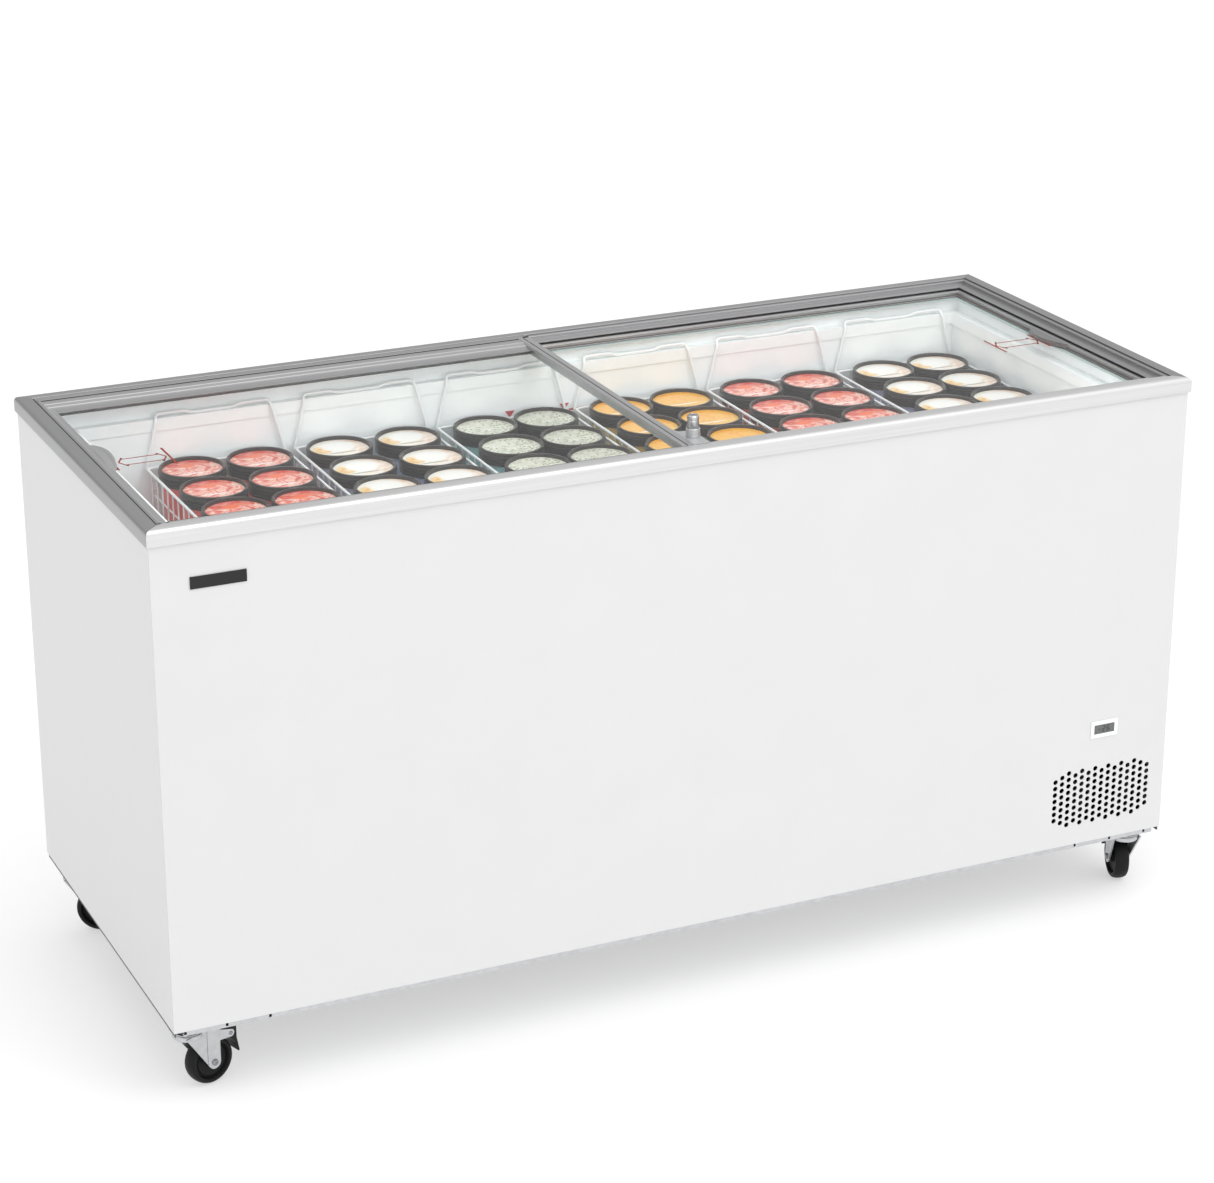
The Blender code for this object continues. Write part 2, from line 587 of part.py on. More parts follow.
def basket_mesh():
    """One wire basket about its own centre: an open lattice box with a hanger at each end."""
    half = WIRE / 2
    x, y = BASKET_X - half, BASKET_Y - half
    low, high = BASKET_BASE + half, BASKET_RIM - half
    columns, rows, levels = 2, 4, 2
    bm = bmesh.new()
    bmesh.ops.create_cube(bm, size=1.0)
    for axis, count in ((0, columns), (1, rows), (2, levels)):
        for i in range(1, count):
            plane = [0, 0, 0]
            plane[axis] = -0.5 + i / count
            normal = [0, 0, 0]
            normal[axis] = 1
            bmesh.ops.bisect_plane(bm, geom=bm.verts[:] + bm.edges[:] + bm.faces[:],
                                   plane_co=plane, plane_no=normal)
    lid = [face for face in bm.faces if face.calc_center_median().z > 0.49]
    bmesh.ops.delete(bm, geom=lid, context="FACES")
    size = Matrix.Diagonal((2 * x, 2 * y, high - low, 1))
    bmesh.ops.transform(bm, matrix=Matrix.Translation((0, 0, (low + high) / 2)) @ size, verts=bm.verts)
    bmesh.ops.wireframe(bm, faces=bm.faces[:], thickness=WIRE, offset=0.0, use_replace=True,
                        use_boundary=True, use_even_offset=True)
    bar, grip, leg_y = 0.0917, 0.040, y + 0.0010
    for sign in (-1, 1):
        half_path = [(x, sign * y, high), (bar, sign * leg_y, SHOULDER_Z),
                     (bar, sign * HANGER_Y, SHOULDER_Z), (grip, sign * HANGER_Y, SHOULDER_Z),
                     (grip - 0.007, sign * HANGER_Y, GRIP_Z)]
        other_half = [(-px, py, pz) for px, py, pz in reversed(half_path)]
        bm = union(bm, tube(half_path + other_half, half, 6))
    mesh = bpy.data.meshes.new("basket")
    bmesh.ops.recalc_face_normals(bm, faces=bm.faces)
    bm.to_mesh(mesh)
    bm.free()
    mesh.materials.append(material("basket_white"))
    return mesh


def build_baskets():
    """Six baskets in a row, each able to lift off its ledge."""
    mesh = basket_mesh()
    for i in range(BASKETS):
        place(f"basket_{i + 1}", mesh, (FIRST_BASKET_X + i * BASKET_PITCH, 0, 0))


# Castors ----------------------------------------------------------------------------------------

def castor_plate(x, y):
    """Top plate with the upper race and the kingpin that holds the fork, in the swivel's frame."""
    low, high = RAIL_BASE - GAP - 0.0027, RAIL_BASE - GAP
    outer, inner, half_y = 0.022, 0.057, 0.032
    left, right = (outer, inner) if x < 0 else (inner, outer)
    plate = box((x - left, y - half_y, low), (x + right, y + half_y, high))
    pin_end = CROWN_BASE - GAP
    spindle = [(0, low + 0.001), (0.0210, low + 0.001), (0.0210, 0.1015), (0.0190, 0.0985),
               (0.0100, CROWN_TOP + 0.0025), (0.0060, CROWN_TOP + GAP), (0.0060, pin_end),
               (0.0100, pin_end), (0.0100, pin_end - 0.003), (0, pin_end - 0.003)]
    return union(plate, turned(spindle, 16, "Z", (x, y, 0)))


def fork():
    """Pressed fork: crown, two legs that narrow to the axle, and ears for the brake's pivot."""
    inner, outer = 0.0145, 0.0170
    foot = arc((TRAIL, WHEEL_R), 0.0105, -140, 0, 5)
    pivot = arc((PEDAL_T, PEDAL_Z), 0.0062, -80, 80, 3)
    leg = [(-0.0150, 0.0950), (-0.0150, 0.0780), *foot, (TRAIL + 0.0105, 0.0700), *pivot,
           (TRAIL + 0.0105, 0.0860), (TRAIL + 0.0105, 0.0950)]
    holes = [circle((TRAIL, WHEEL_R), 0.0049, 8), circle((PEDAL_T, PEDAL_Z), 0.0029, 8)]
    legs = bmesh.new()
    for low, high in ((-outer, -inner), (inner, outer)):
        side = prism(leg, low, high, holes, "Y")
        part = bpy.data.meshes.new("leg")
        side.to_mesh(part)
        side.free()
        legs.from_mesh(part)
    crown = [(0.0064, CROWN_BASE), (0.0205, CROWN_BASE), (0.0220, 0.0880), (0.0220, 0.0940),
             (0.0200, CROWN_TOP), (0.0064, CROWN_TOP)]
    bridge = box((0.0120, -inner - 0.001, 0.0890), (TRAIL + 0.0095, inner + 0.001, 0.0945))
    return union(turned(crown, 16), bridge, legs)


def wheel():
    """Solid wheel with rounded shoulders, dished sides and a through bore, turned about Y."""
    half = [(0.0048, 0.0124), (0.0100, 0.0124), (0.0100, 0.0090), (0.0240, 0.0090), (0.0265, WHEEL_HALF),
            (0.0335, WHEEL_HALF), (0.0367, 0.0080)]
    profile = half + [(WHEEL_R, 0.0)] + [(r, -w) for r, w in reversed(half)]
    return turned(profile, 16, "Y")


def axle():
    """Bolt through the fork's legs, with a head at each end."""
    half = [(0.0068, 0.0202), (0.0068, 0.0173), (0.0045, 0.0173)]
    profile = [(0, 0.0202), *half, *[(r, -w) for r, w in reversed(half)], (0, -0.0202)]
    return turned(profile, 12, "Y")


def pedal():
    """Brake pedal between the fork's ears, on a pin of its own, with a shoe close to the tread."""
    t, z = PEDAL_T, PEDAL_Z
    boss = arc((t, z), 0.0062, 150, 235, 4)
    outline = [(t + 0.0050, z + 0.0115), *boss, (t + 0.0040, z - 0.0110), (t + 0.0112, z - 0.0230),
               (t + 0.0133, z - 0.0350), (t + 0.0160, z - 0.0370), (t + 0.0172, z - 0.0355),
               (t + 0.0128, z - 0.0130), (t + 0.0128, z + 0.0100), (t + 0.0105, z + 0.0125)]
    half = 0.0130
    plate = prism(outline, -half, half, (), "Y")
    pin = cylinder((t, z), 0.0025, -0.0168, 0.0168, 8, "Y")
    return union(plate, pin)


def build_castors():
    """Four swivel castors, each on an empty that stands on its swivel axis; the front two brake."""
    corners = (("front_left", -1, -1, 17.3, True), ("front_right", 1, -1, 73.0, True),
               ("rear_left", -1, 1, -25.0, False), ("rear_right", 1, 1, 200.0, False))
    for name, side_x, side_y, angle, braked in corners:
        x, y = side_x * CASTOR_X, side_y * CASTOR_Y
        add(f"castor_plate_{name}", castor_plate(x, y), "zinc", (x, y, RAIL_BASE))
        swivel = bpy.data.objects.new(f"swivel_{name}", None)
        swivel.location = (x, y, 0)
        swivel.rotation_euler = (0, 0, math.radians(angle))
        bpy.context.scene.collection.objects.link(swivel)
        centre = (TRAIL, 0, WHEEL_R)
        add(f"fork_{name}", fork(), "zinc", (0, 0, 0), swivel)
        tyre, bolt = wheel(), axle()
        bmesh.ops.translate(tyre, verts=tyre.verts, vec=centre)
        bmesh.ops.translate(bolt, verts=bolt.verts, vec=centre)
        add(f"wheel_{name}", tyre, "black_rubber", centre, swivel)
        add(f"axle_{name}", bolt, "steel", centre, swivel)
        if braked:
            add(f"brake_pedal_{name}", pedal(), "black_plastic", (PEDAL_T, 0, PEDAL_Z), swivel)


clear_scene()
build_body()
build_fittings()
build_upper_lid()
build_lower_lid()
build_baskets()
build_castors()
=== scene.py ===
# %% [markdown]
# An ice cream display cabinet is a white steel chest with a grey collar round its mouth. Two flat
# glass lids slide in the collar, one over the other, and six wire baskets full of tubs hang from a
# ledge in the white throat. This lesson dresses the cabinet's measured frame: it keeps plain
# pieces such as side panels and glass, and works out finer ones where an edge, a bead or a wire
# catches the light. Every place comes from the frame's own boxes, so nothing has to be fitted.

# %% The frame, and where things are
import math

import bmesh
import bpy
import numpy as np
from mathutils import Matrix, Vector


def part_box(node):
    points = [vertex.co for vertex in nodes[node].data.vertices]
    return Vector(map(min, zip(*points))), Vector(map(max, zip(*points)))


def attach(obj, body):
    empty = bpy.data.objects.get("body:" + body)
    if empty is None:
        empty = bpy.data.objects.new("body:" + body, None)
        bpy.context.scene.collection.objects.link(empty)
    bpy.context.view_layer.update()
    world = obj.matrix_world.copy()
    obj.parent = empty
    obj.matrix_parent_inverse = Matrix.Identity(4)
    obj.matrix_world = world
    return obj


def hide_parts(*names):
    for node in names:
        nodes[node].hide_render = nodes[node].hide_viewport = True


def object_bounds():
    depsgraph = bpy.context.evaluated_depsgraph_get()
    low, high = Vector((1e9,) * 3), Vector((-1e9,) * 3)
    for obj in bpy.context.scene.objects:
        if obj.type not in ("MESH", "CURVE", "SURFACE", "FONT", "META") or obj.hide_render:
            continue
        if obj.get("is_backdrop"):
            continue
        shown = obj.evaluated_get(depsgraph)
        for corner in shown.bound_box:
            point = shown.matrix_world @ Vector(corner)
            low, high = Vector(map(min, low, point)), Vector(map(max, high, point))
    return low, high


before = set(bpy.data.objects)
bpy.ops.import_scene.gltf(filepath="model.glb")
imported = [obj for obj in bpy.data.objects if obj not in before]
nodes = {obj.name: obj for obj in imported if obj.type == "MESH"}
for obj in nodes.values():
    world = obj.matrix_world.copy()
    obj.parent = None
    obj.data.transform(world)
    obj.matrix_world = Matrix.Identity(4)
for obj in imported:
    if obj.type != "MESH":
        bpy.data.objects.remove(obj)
cad_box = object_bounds()


def box_of(node):
    """Lowest and highest corner of a frame node, as two arrays of x, y, z."""
    return tuple(np.array(corner[:], float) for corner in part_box(node))


TOP = float(box_of("collar_front")[1][2])            # height of the collar's top face
COLLAR_Y = float(box_of("collar_rear")[1][1])
MITRE = 0.5075                                       # how much longer than deep each ring is
BODY_X, BODY_Y = float(box_of("front_panel")[1][0]), float(-box_of("front_panel")[0][1])
print("collar top", round(TOP, 4), "body", BODY_X, BODY_Y)


# %% [markdown]
# Every shape below is a grid of points. A rail is a section carried from one end to the other, a
# turned piece is a section carried round an axis, and a wire is a circle carried along a path. One
# function turns such a grid into faces, so a shape's own function only has to say where its points
# are. Several grids can share one mesh, as the wires of one basket do.

# %% Grids and meshes
def mm(*points):
    """Points given in millimetres, as an array in metres."""
    return np.array(points, float) / 1000


def faces_of(rows, columns, round_rows, round_columns, start):
    """Corner numbers of the quads between neighbouring rows and columns of a grid of points."""
    i = np.arange(rows if round_rows else rows - 1)[:, None]
    j = np.arange(columns if round_columns else columns - 1)[None, :]
    i2, j2 = (i + 1) % rows, (j + 1) % columns
    corners = [i * columns + j, i2 * columns + j, i2 * columns + j2, i * columns + j2]
    return np.stack([c + start + 0 * (i + j) for c in corners], axis=-1).reshape(-1, 4)


def grid(points, round_rows=False, round_columns=True, caps=True):
    """A surface from points (rows, columns, 3); caps close the first and last row with one face."""
    rows, columns = points.shape[:2]
    quads = faces_of(rows, columns, round_rows, round_columns, 0).tolist()
    ends = []
    if caps and not round_rows:
        ends = [list(range(columns)), list(range((rows - 1) * columns, rows * columns))[::-1]]
    return points.reshape(-1, 3), quads + ends


def piece(name, surfaces, material, body, replaces=(), sharp=35, flat=False):
    """Join surfaces into one mesh at the origin, with its faces turned outwards, and let it ride."""
    start, corners, faces = 0, [], []
    for points, quads in surfaces:
        corners.append(points)
        faces += [[k + start for k in face] for face in quads]
        start += len(points)
    mesh = bpy.data.meshes.new(name)
    mesh.from_pydata(np.concatenate(corners).tolist(), [], faces)
    mesh.update()
    obj = bpy.data.objects.new(name, mesh)
    bpy.context.scene.collection.objects.link(obj)
    outward(mesh)
    if not flat:
        mesh.shade_smooth()
        mesh.set_sharp_from_angle(angle=math.radians(sharp))
    for one in material if isinstance(material, (list, tuple)) else [material]:
        mesh.materials.append(one)
    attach(obj, body)
    if replaces:
        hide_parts(*replaces)
    return obj


def outward(mesh):
    """Recalculate normals so that the faces of every closed part point out."""
    bm = bmesh.new()
    bm.from_mesh(mesh)
    bmesh.ops.recalc_face_normals(bm, faces=bm.faces)
    bm.to_mesh(mesh)
    bm.free()


def rounded(points, radius, steps=4, closed=True):
    """Replace each corner of a chain by a quarter-like curve that starts `radius` before it.

    The curve is the corner's quadratic Bezier: (1-t)^2 a + 2t(1-t) corner + t^2 b.
    """
    points = np.asarray(points, float)
    before, after = np.roll(points, 1, 0), np.roll(points, -1, 0)
    reach = np.broadcast_to(np.asarray(radius, float), len(points))[:, None]
    to_before, to_after = before - points, after - points
    len_before = np.linalg.norm(to_before, axis=1, keepdims=True)
    len_after = np.linalg.norm(to_after, axis=1, keepdims=True)
    a = points + to_before / len_before * np.minimum(reach, len_before * 0.45)
    b = points + to_after / len_after * np.minimum(reach, len_after * 0.45)
    t = np.linspace(0, 1, steps + 1)[None, :, None]
    curve = (1 - t) ** 2 * a[:, None] + 2 * t * (1 - t) * points[:, None] + t ** 2 * b[:, None]
    if closed:
        return curve.reshape(-1, points.shape[1])
    inner = curve[1:-1].reshape(-1, points.shape[1])
    return np.concatenate([points[:1], inner, points[-1:]])


def bar(section, start, end, along="x"):
    """Carry a closed section of (across, z) points from `start` to `end`, given for each point."""
    section = np.asarray(section, float)
    stations = np.stack([np.broadcast_to(e, len(section)) for e in (start, end)])
    across, up = (np.broadcast_to(section[:, k], stations.shape) for k in (0, 1))
    order = (stations, across, up) if along == "x" else (across, stations, up)
    return grid(np.stack(order, axis=-1))


def turned(section, steps=64, centre=(0, 0, 0), axis=2, ring=False, ripple=None):
    """Turn (radius, height) points round an axis; `ripple` adds to the radius by point and angle."""
    section = np.asarray(section, float)
    angle = np.linspace(0, 2 * np.pi, steps, endpoint=False)[None, :]
    radius = section[:, :1] + (0 if ripple is None else ripple(section, angle))
    first, second = radius * np.cos(angle), radius * np.sin(angle)
    height = np.broadcast_to(section[:, 1:2], first.shape)
    order = {0: (height, first, second), 1: (second, height, first), 2: (first, second, height)}
    points = np.stack(np.broadcast_arrays(*order[axis]), axis=-1) + np.asarray(centre)
    return grid(points, round_rows=ring, caps=not ring)


def unit(vectors):
    """Each vector divided by its length."""
    return vectors / np.linalg.norm(vectors, axis=-1, keepdims=True)


def wire(path, radius, side, sides=8, closed=False):
    """A round wire along a path; `side` is a direction that the path never runs along.

    Each ring of points is path + radius (cos a * across + sin a * up), where across is the path's
    direction crossed with `side`, and up is across crossed with the direction.
    """
    path = np.asarray(path, float)
    ahead = np.roll(path, -1, 0) - path
    behind = path - np.roll(path, 1, 0)
    if not closed:
        ahead[-1], behind[0] = behind[-1], ahead[0]
    along = unit(unit(ahead) + unit(behind))
    across = unit(np.cross(along, side))
    up = np.cross(across, along)
    angle = np.linspace(0, 2 * np.pi, sides, endpoint=False)[None, :, None]
    points = path[:, None] + radius * (np.cos(angle) * across[:, None] + np.sin(angle) * up[:, None])
    return grid(points, round_rows=closed, caps=not closed)


def slab(outline, low, high):
    """A flat plate: an outline of (x, y) points from height `low` to `high`."""
    outline = np.asarray(outline, float)
    levels = [np.column_stack([outline, np.full(len(outline), z)]) for z in (low, high)]
    return grid(np.stack(levels))


def circle(centre, radius, sides=24):
    """Points (centre + radius (cos, sin)) round a circle."""
    angle = np.linspace(0, 2 * np.pi, sides, endpoint=False)
    return np.asarray(centre) + radius * np.column_stack([np.cos(angle), np.sin(angle)])


def punched(outline, holes, low, high, order=(0, 1, 2)):
    """Fill between an outline and its holes, then extrude from level `low` to `high`.

    Loops hold (a, b) points and the level is c; `order` picks x, y and z from a, b and c. The fill
    lists its faces in any order, so they are sorted, each from its lowest vertex.
    """
    bm = bmesh.new()
    for loop in [outline, *holes]:
        verts = [bm.verts.new((a, b, low)) for a, b in loop]
        for i, vert in enumerate(verts):
            bm.edges.new((verts[i - 1], vert))
    bmesh.ops.triangle_fill(bm, use_beauty=True, edges=bm.edges[:])
    made = bmesh.ops.extrude_face_region(bm, geom=bm.faces[:])
    moved = [item for item in made["geom"] if isinstance(item, bmesh.types.BMVert)]
    bmesh.ops.translate(bm, verts=moved, vec=(0, 0, high - low))
    bm.verts.index_update()
    points = np.array([v.co[:] for v in bm.verts])[:, list(order)]
    faces = [[v.index for v in f.verts] for f in bm.faces]
    bm.free()
    starts = [face.index(min(face)) for face in faces]
    return points, sorted(face[i:] + face[:i] for face, i in zip(faces, starts))


# %% [markdown]
# A finish starts from what the thing is made of. One function turns a hex colour into linear
# light, one adds a node, and one starts a material from its base colour, roughness and metallic
# value. Patterns use Object coordinates in metres, so a scale of 1/size puts them at a real size.

# %% Material helpers
def linear(hex_colour):
    """sRGB hex to linear RGBA: c/12.92 below 0.04045, else ((c+0.055)/1.055)^2.4."""
    rgb = np.array([int(hex_colour[i:i + 2], 16) / 255 for i in (1, 3, 5)])
    low, high = rgb / 12.92, ((rgb + 0.055) / 1.055) ** 2.4
    return (*np.where(rgb <= 0.04045, low, high).tolist(), 1.0)


def add_node(tree, kind, values=None, **settings):
    """Add a node; `values` maps an input's name or number to a constant or to another output."""
    made = tree.nodes.new(kind)
    for key, value in settings.items():
        setattr(made, key, value)
    for key, value in (values or {}).items():
        if isinstance(value, bpy.types.NodeSocket):
            tree.links.new(value, made.inputs[key])
        else:
            made.inputs[key].default_value = value
    return made


def start_material(name, colour, roughness, metallic=0.0, **sockets):
    """A new Principled material; extra sockets are named with underscores for spaces."""
    material = bpy.data.materials.new(name)
    material.use_nodes = True
    tree = material.node_tree
    shader = tree.nodes["Principled BSDF"]
    shader.inputs["Base Color"].default_value = linear(colour)
    shader.inputs["Roughness"].default_value = roughness
    shader.inputs["Metallic"].default_value = metallic
    for key, value in sockets.items():
        shader.inputs[key.replace("_", " ")].default_value = value
    return material, tree, shader


def grain(tree, size, stretch=(1, 1, 1), detail=3.0):
    """Noise whose blotches are `size` metres across, stretched along the piece's own axes."""
    coord = add_node(tree, "ShaderNodeTexCoord").outputs["Object"]
    placed = add_node(tree, "ShaderNodeMapping", {0: coord, 3: stretch}).outputs[0]
    noise = {"Vector": placed, "Scale": 1 / size, "Detail": detail}
    return add_node(tree, "ShaderNodeTexNoise", noise).outputs[0]


def ramp(tree, factor, stops):
    """A colour ramp from (position, hex) stops."""
    made = add_node(tree, "ShaderNodeValToRGB", {0: factor})
    elements = made.color_ramp.elements
    while len(elements) < len(stops):
        elements.new(0.5)
    for element, (position, colour) in zip(elements, stops):
        element.position = position
        element.color = linear(colour)
    return made.outputs["Color"]


def roughen(tree, shader, factor, low, high):
    """Let the roughness wander between two values with a pattern."""
    span = add_node(tree, "ShaderNodeMapRange", {0: factor, 3: low, 4: high})
    tree.links.new(span.outputs[0], shader.inputs["Roughness"])


def shade(tree, shader, factor, colour, dark):
    """Dim the base colour to `dark` times itself where the pattern is low."""
    value = add_node(tree, "ShaderNodeMapRange", {0: factor, 1: 0.3, 2: 0.7, 3: dark, 4: 1.0}).outputs[0]
    toned = add_node(tree, "ShaderNodeHueSaturation", {"Value": value, "Color": linear(colour)})
    tree.links.new(toned.outputs[0], shader.inputs["Base Color"])


def dent(tree, shader, height, distance, strength=1.0):
    """Bump of a real height in metres."""
    bump = add_node(tree, "ShaderNodeBump", {"Height": height, "Distance": distance, "Strength": strength})
    tree.links.new(bump.outputs[0], shader.inputs["Normal"])


# %% [markdown]
# The cabinet's outside is cold-rolled steel with a baked white powder coat. Powder flows out with
# a faint orange peel a few millimetres across, so reflections are soft rather than mirror-sharp.
# The collar, lid frames and stile are satin-anodised aluminium sections. Their drawing marks run
# along each section, so one finish has marks along x and the other along y. Their greys hold painted
# light: the front collar member is a light grey as a painted highlight, while the collar's sides,
# its rear member and the upper lid's rear rail are darker greys as painted shade.

# %% Metal and paint finishes
def powder_coat(name, colour):
    """White baked powder coat: orange peel 3 mm across and a few microns high."""
    material, tree, shader = start_material(name, colour, 0.38, Coat_Weight=0.15, Coat_Roughness=0.25)
    peel = grain(tree, 0.003, detail=1.0)
    dent(tree, shader, peel, 0.00002, 0.5)
    drift = grain(tree, 0.09)
    shade(tree, shader, drift, colour, 0.985)
    roughen(tree, shader, drift, 0.34, 0.42)
    return material


def anodised(name, colour, along, roughness=0.36):
    """Satin-anodised aluminium with drawing marks 2 mm apart and a quarter of a metre long."""
    stretch = {"x": (0.008, 1, 1), "y": (1, 0.008, 1)}[along]
    material, tree, shader = start_material(name, colour, roughness, 0.85)
    marks = grain(tree, 0.002, stretch, 2.0)
    shade(tree, shader, marks, colour, 0.93)
    roughen(tree, shader, marks, roughness - 0.04, roughness + 0.06)
    return material


def plated(name, light, dark, size, low, high, metallic=1.0):
    """Metal whose colour and gloss drift between two values in cloudy patches `size` metres across."""
    material, tree, shader = start_material(name, light, low, metallic)
    cloud = grain(tree, size)
    tree.links.new(ramp(tree, cloud, [(0.3, dark), (0.7, light)]), shader.inputs["Base Color"])
    roughen(tree, shader, cloud, low, high)
    return material


white_coat = powder_coat("powder_coated_steel_white", "#D9D9D9")
# Painted light: the front collar's light grey is a painted highlight; the darker greys of the collar's sides
# and of the rear rails are painted shade.
collar_front_highlight_grey = anodised("anodised_collar_lengthwise", "#E0E0E0", "x", 0.30)
collar_sides_shade_grey = anodised("anodised_collar_sides_painted_shade", "#A6A6A7", "y", 0.34)
rear_rails_shade_grey = anodised("anodised_rear_rails_painted_shade", "#B4B4B5", "x", 0.30)
lid_grey_y = anodised("anodised_lid_frame_crosswise", "#BEBEBF", "y", 0.34)
lock_grey = anodised("anodised_lock_plate", "#D3D4D5", "y", 0.36)
pull_grey = anodised("anodised_pull", "#9A9A9B", "y", 0.40)
zinc = plated("zinc_plated_steel", "#CBCCCE", "#BDBEC0", 0.012, 0.28, 0.42, 0.85)
bolt_zinc = plated("zinc_plated_bolt", "#A2A3A6", "#88898C", 0.004, 0.25, 0.38)
# The base pan and castor plates, which sit in shadow under the cabinet, get a dark zinc as painted shade.
dark_shade_zinc = plated("zinc_darkened_as_painted_shade", "#6E6F72", "#5B5C5E", 0.015, 0.42, 0.60, 0.75)
chrome = plated("polished_chrome", "#C9CACC", "#B4B5B8", 0.020, 0.08, 0.18)
copper = plated("copper_tube", "#BD7A4E", "#A2613B", 0.012, 0.28, 0.45)
print("metal finishes ready")


# %% [markdown]
# The throat is white ABS, the tub inside is white-coated embossed aluminium, and the baskets are
# welded wire dipped in white polyethylene. Castor wheels and tub lids are black polypropylene.

# %% Plastic finishes
def moulded(name, colour, roughness, speckle=0.0015, height=0.00003, spread=0.05, **sockets):
    """Moulded plastic: a fine spark-eroded texture and slightly uneven gloss."""
    material, tree, shader = start_material(name, colour, roughness, **sockets)
    texture = grain(tree, speckle, detail=2.0)
    dent(tree, shader, texture, height, 0.6)
    drift = grain(tree, 0.03)
    shade(tree, shader, drift, colour, 0.96)
    roughen(tree, shader, drift, roughness - spread, roughness + spread)
    return material


throat_white = moulded("abs_throat_white", "#F9FCFC", 0.40)
liner_white = powder_coat("coated_embossed_aluminium", "#F8FBFB")
wire_white = moulded("polyethylene_dipped_wire", "#F3F4F4", 0.38, 0.004)
tyre_black = moulded("polypropylene_wheel_black", "#0C0C0D", 0.55, 0.003, 0.00006, Specular_IOR_Level=0.25)
pedal_black = moulded("nylon_pedal_black", "#060607", 0.45, Specular_IOR_Level=0.3)
lid_black = moulded("polypropylene_tub_lid", "#241F1D", 0.32)
enamel_black = moulded("black_enamel", "#0B0B0C", 0.35, 0.004)
foam_cream = moulded("polyurethane_foam", "#E9DFB4", 0.85, 0.002, 0.0004)
load_red = moulded("printed_red_ink", "#C9383B", 0.5)
arrow_brown = moulded("printed_brown_ink", "#8F3222", 0.5)
print("plastic finishes ready")


# %% [markdown]
# The lids are 3 to 4 mm toughened low-iron glass with an anti-glare coating, so its reflections are
# weak and its index of refraction is set low. A ray tracer lets little light through real glass
# without slow caustics, so rays that only carry light pass straight through.

# %% Glass
def float_glass(name, colour):
    """Clear glass for the eye that is fully open to shadow and diffuse rays."""
    material, tree, shader = start_material(name, colour, 0.0, 0.0, Transmission_Weight=1.0, IOR=1.14)
    path = add_node(tree, "ShaderNodeLightPath")
    rays = {0: path.outputs["Is Shadow Ray"], 1: path.outputs["Is Diffuse Ray"]}
    light = add_node(tree, "ShaderNodeMath", rays, operation="MAXIMUM").outputs[0]
    clear = add_node(tree, "ShaderNodeBsdfTransparent", {0: linear("#FEFFFF")}).outputs[0]
    both = add_node(tree, "ShaderNodeMixShader", {0: light, 1: shader.outputs[0], 2: clear})
    tree.links.new(both.outputs[0], tree.nodes["Material Output"].inputs["Surface"])
    return material


glass = float_glass("toughened_float_glass", "#FDFFFF")


# %% [markdown]
# Pieces that are already right only need their finish. A dictionary says which frame nodes take
# which one, and a loop puts each in its node's first material slot.

# %% Finishes for the frame's own nodes
kept = {
    white_coat: ["rear_panel", "left_panel", "right_panel"],
    zinc: ["base_rail_front", "base_rail_rear"],
    dark_shade_zinc: ["base_pan"],
    glass: ["upper_glass", "lower_glass"],
    throat_white: ["throat_trim", "display_bezel"],
    liner_white: ["liner"],
    chrome: ["lock_keeper", "lock_plug"],
    enamel_black: ["compressor", "condenser", "fan_motor", "fan_shroud", "badge_plate"],
    pedal_black: ["fan_blade", "cord_gland", "drain_plug"],
    copper: ["refrigerant_line", "evaporator_band"],
    foam_cream: ["foam_insulation"],
}
# The castor plates also take the dark zinc as painted shade.
for corner in ("front_left", "front_right", "rear_left", "rear_right"):
    kept[dark_shade_zinc].append(f"castor_plate_{corner}")


def finish_node(name, material):
    """Give a frame node one material in every slot."""
    mesh = nodes[name].data
    if not mesh.materials:
        mesh.materials.append(material)
    for i in range(len(mesh.materials)):
        mesh.materials[i] = material


for material, names in kept.items():
    for name in names:
        finish_node(name, material)
print(sum(map(len, kept.values())), "frame nodes keep their shape")


# %% [markdown]
# The front panel is one sheet with a punched vent: staggered columns of round holes. The sheet is
# filled between its outline and the holes, then given its thickness, so the holes are real.

# %% Front panel with its punched vent
def vent_holes():
    """Round holes in staggered columns: 7 in the outer ones, then 8 and 9 by turns."""
    columns, pitch_x, pitch_z, middle_z, radius = 15, 0.01236, 0.01133, 0.203, 0.0043
    holes = []
    for column in range(columns):
        count = 7 if column in (0, columns - 1) else 8 + (column + 1) % 2
        rows = middle_z + (np.arange(count) - (count - 1) / 2) * pitch_z
        holes += [circle((BODY_X - 0.032 - pitch_x * column, z), radius, 16) for z in rows]
    return holes


(x0, front, z0), (x1, back, z1) = (corner.tolist() for corner in box_of("front_panel"))
sheet = punched([(x0, z0), (x1, z0), (x1, z1), (x0, z1)], vent_holes(), front, back, (0, 2, 1))
print(len(vent_holes()), "holes in the vent")
piece("front_sheet", [sheet], white_coat, "cabinet", ["front_panel"])


# %% [markdown]
# The collar is one aluminium section, mitred at the corners: a broad flat top with a soft outer
# edge, a narrow black slot, a thin fin, and a low shelf that carries the upper lid. Each member
# ends at 45 degrees because its ends reach as far along as each point lies out.

# %% Collar
def below(*pairs):
    """Turn millimetre pairs (across, depth below the collar's top) into (across, height) in metres."""
    return mm(*pairs) * (1, -1) + (0, TOP)


def collar_section(shelf):
    """Collar outline from its lower outer corner over the top to the shelf, which ends at `shelf` mm."""
    outer, base = COLLAR_Y * 1000, (TOP - float(box_of("collar_front")[0][2])) * 1000
    section = below((297, base), (outer, base), (outer, 0), (314.5, 0), (314.5, 5), (312.5, 5), (312.5, 2),
                    (305.5, 2), (305.5, 7.5), (shelf, 7.5), (shelf, 9), (297, 9))
    radii = [0.3, 1.5, 8.5, 0.8, 0.2, 0.2, 0.6, 1.0, 0.4, 0.4, 0.4, 0.3]
    return rounded(section, mm(*radii), 7)


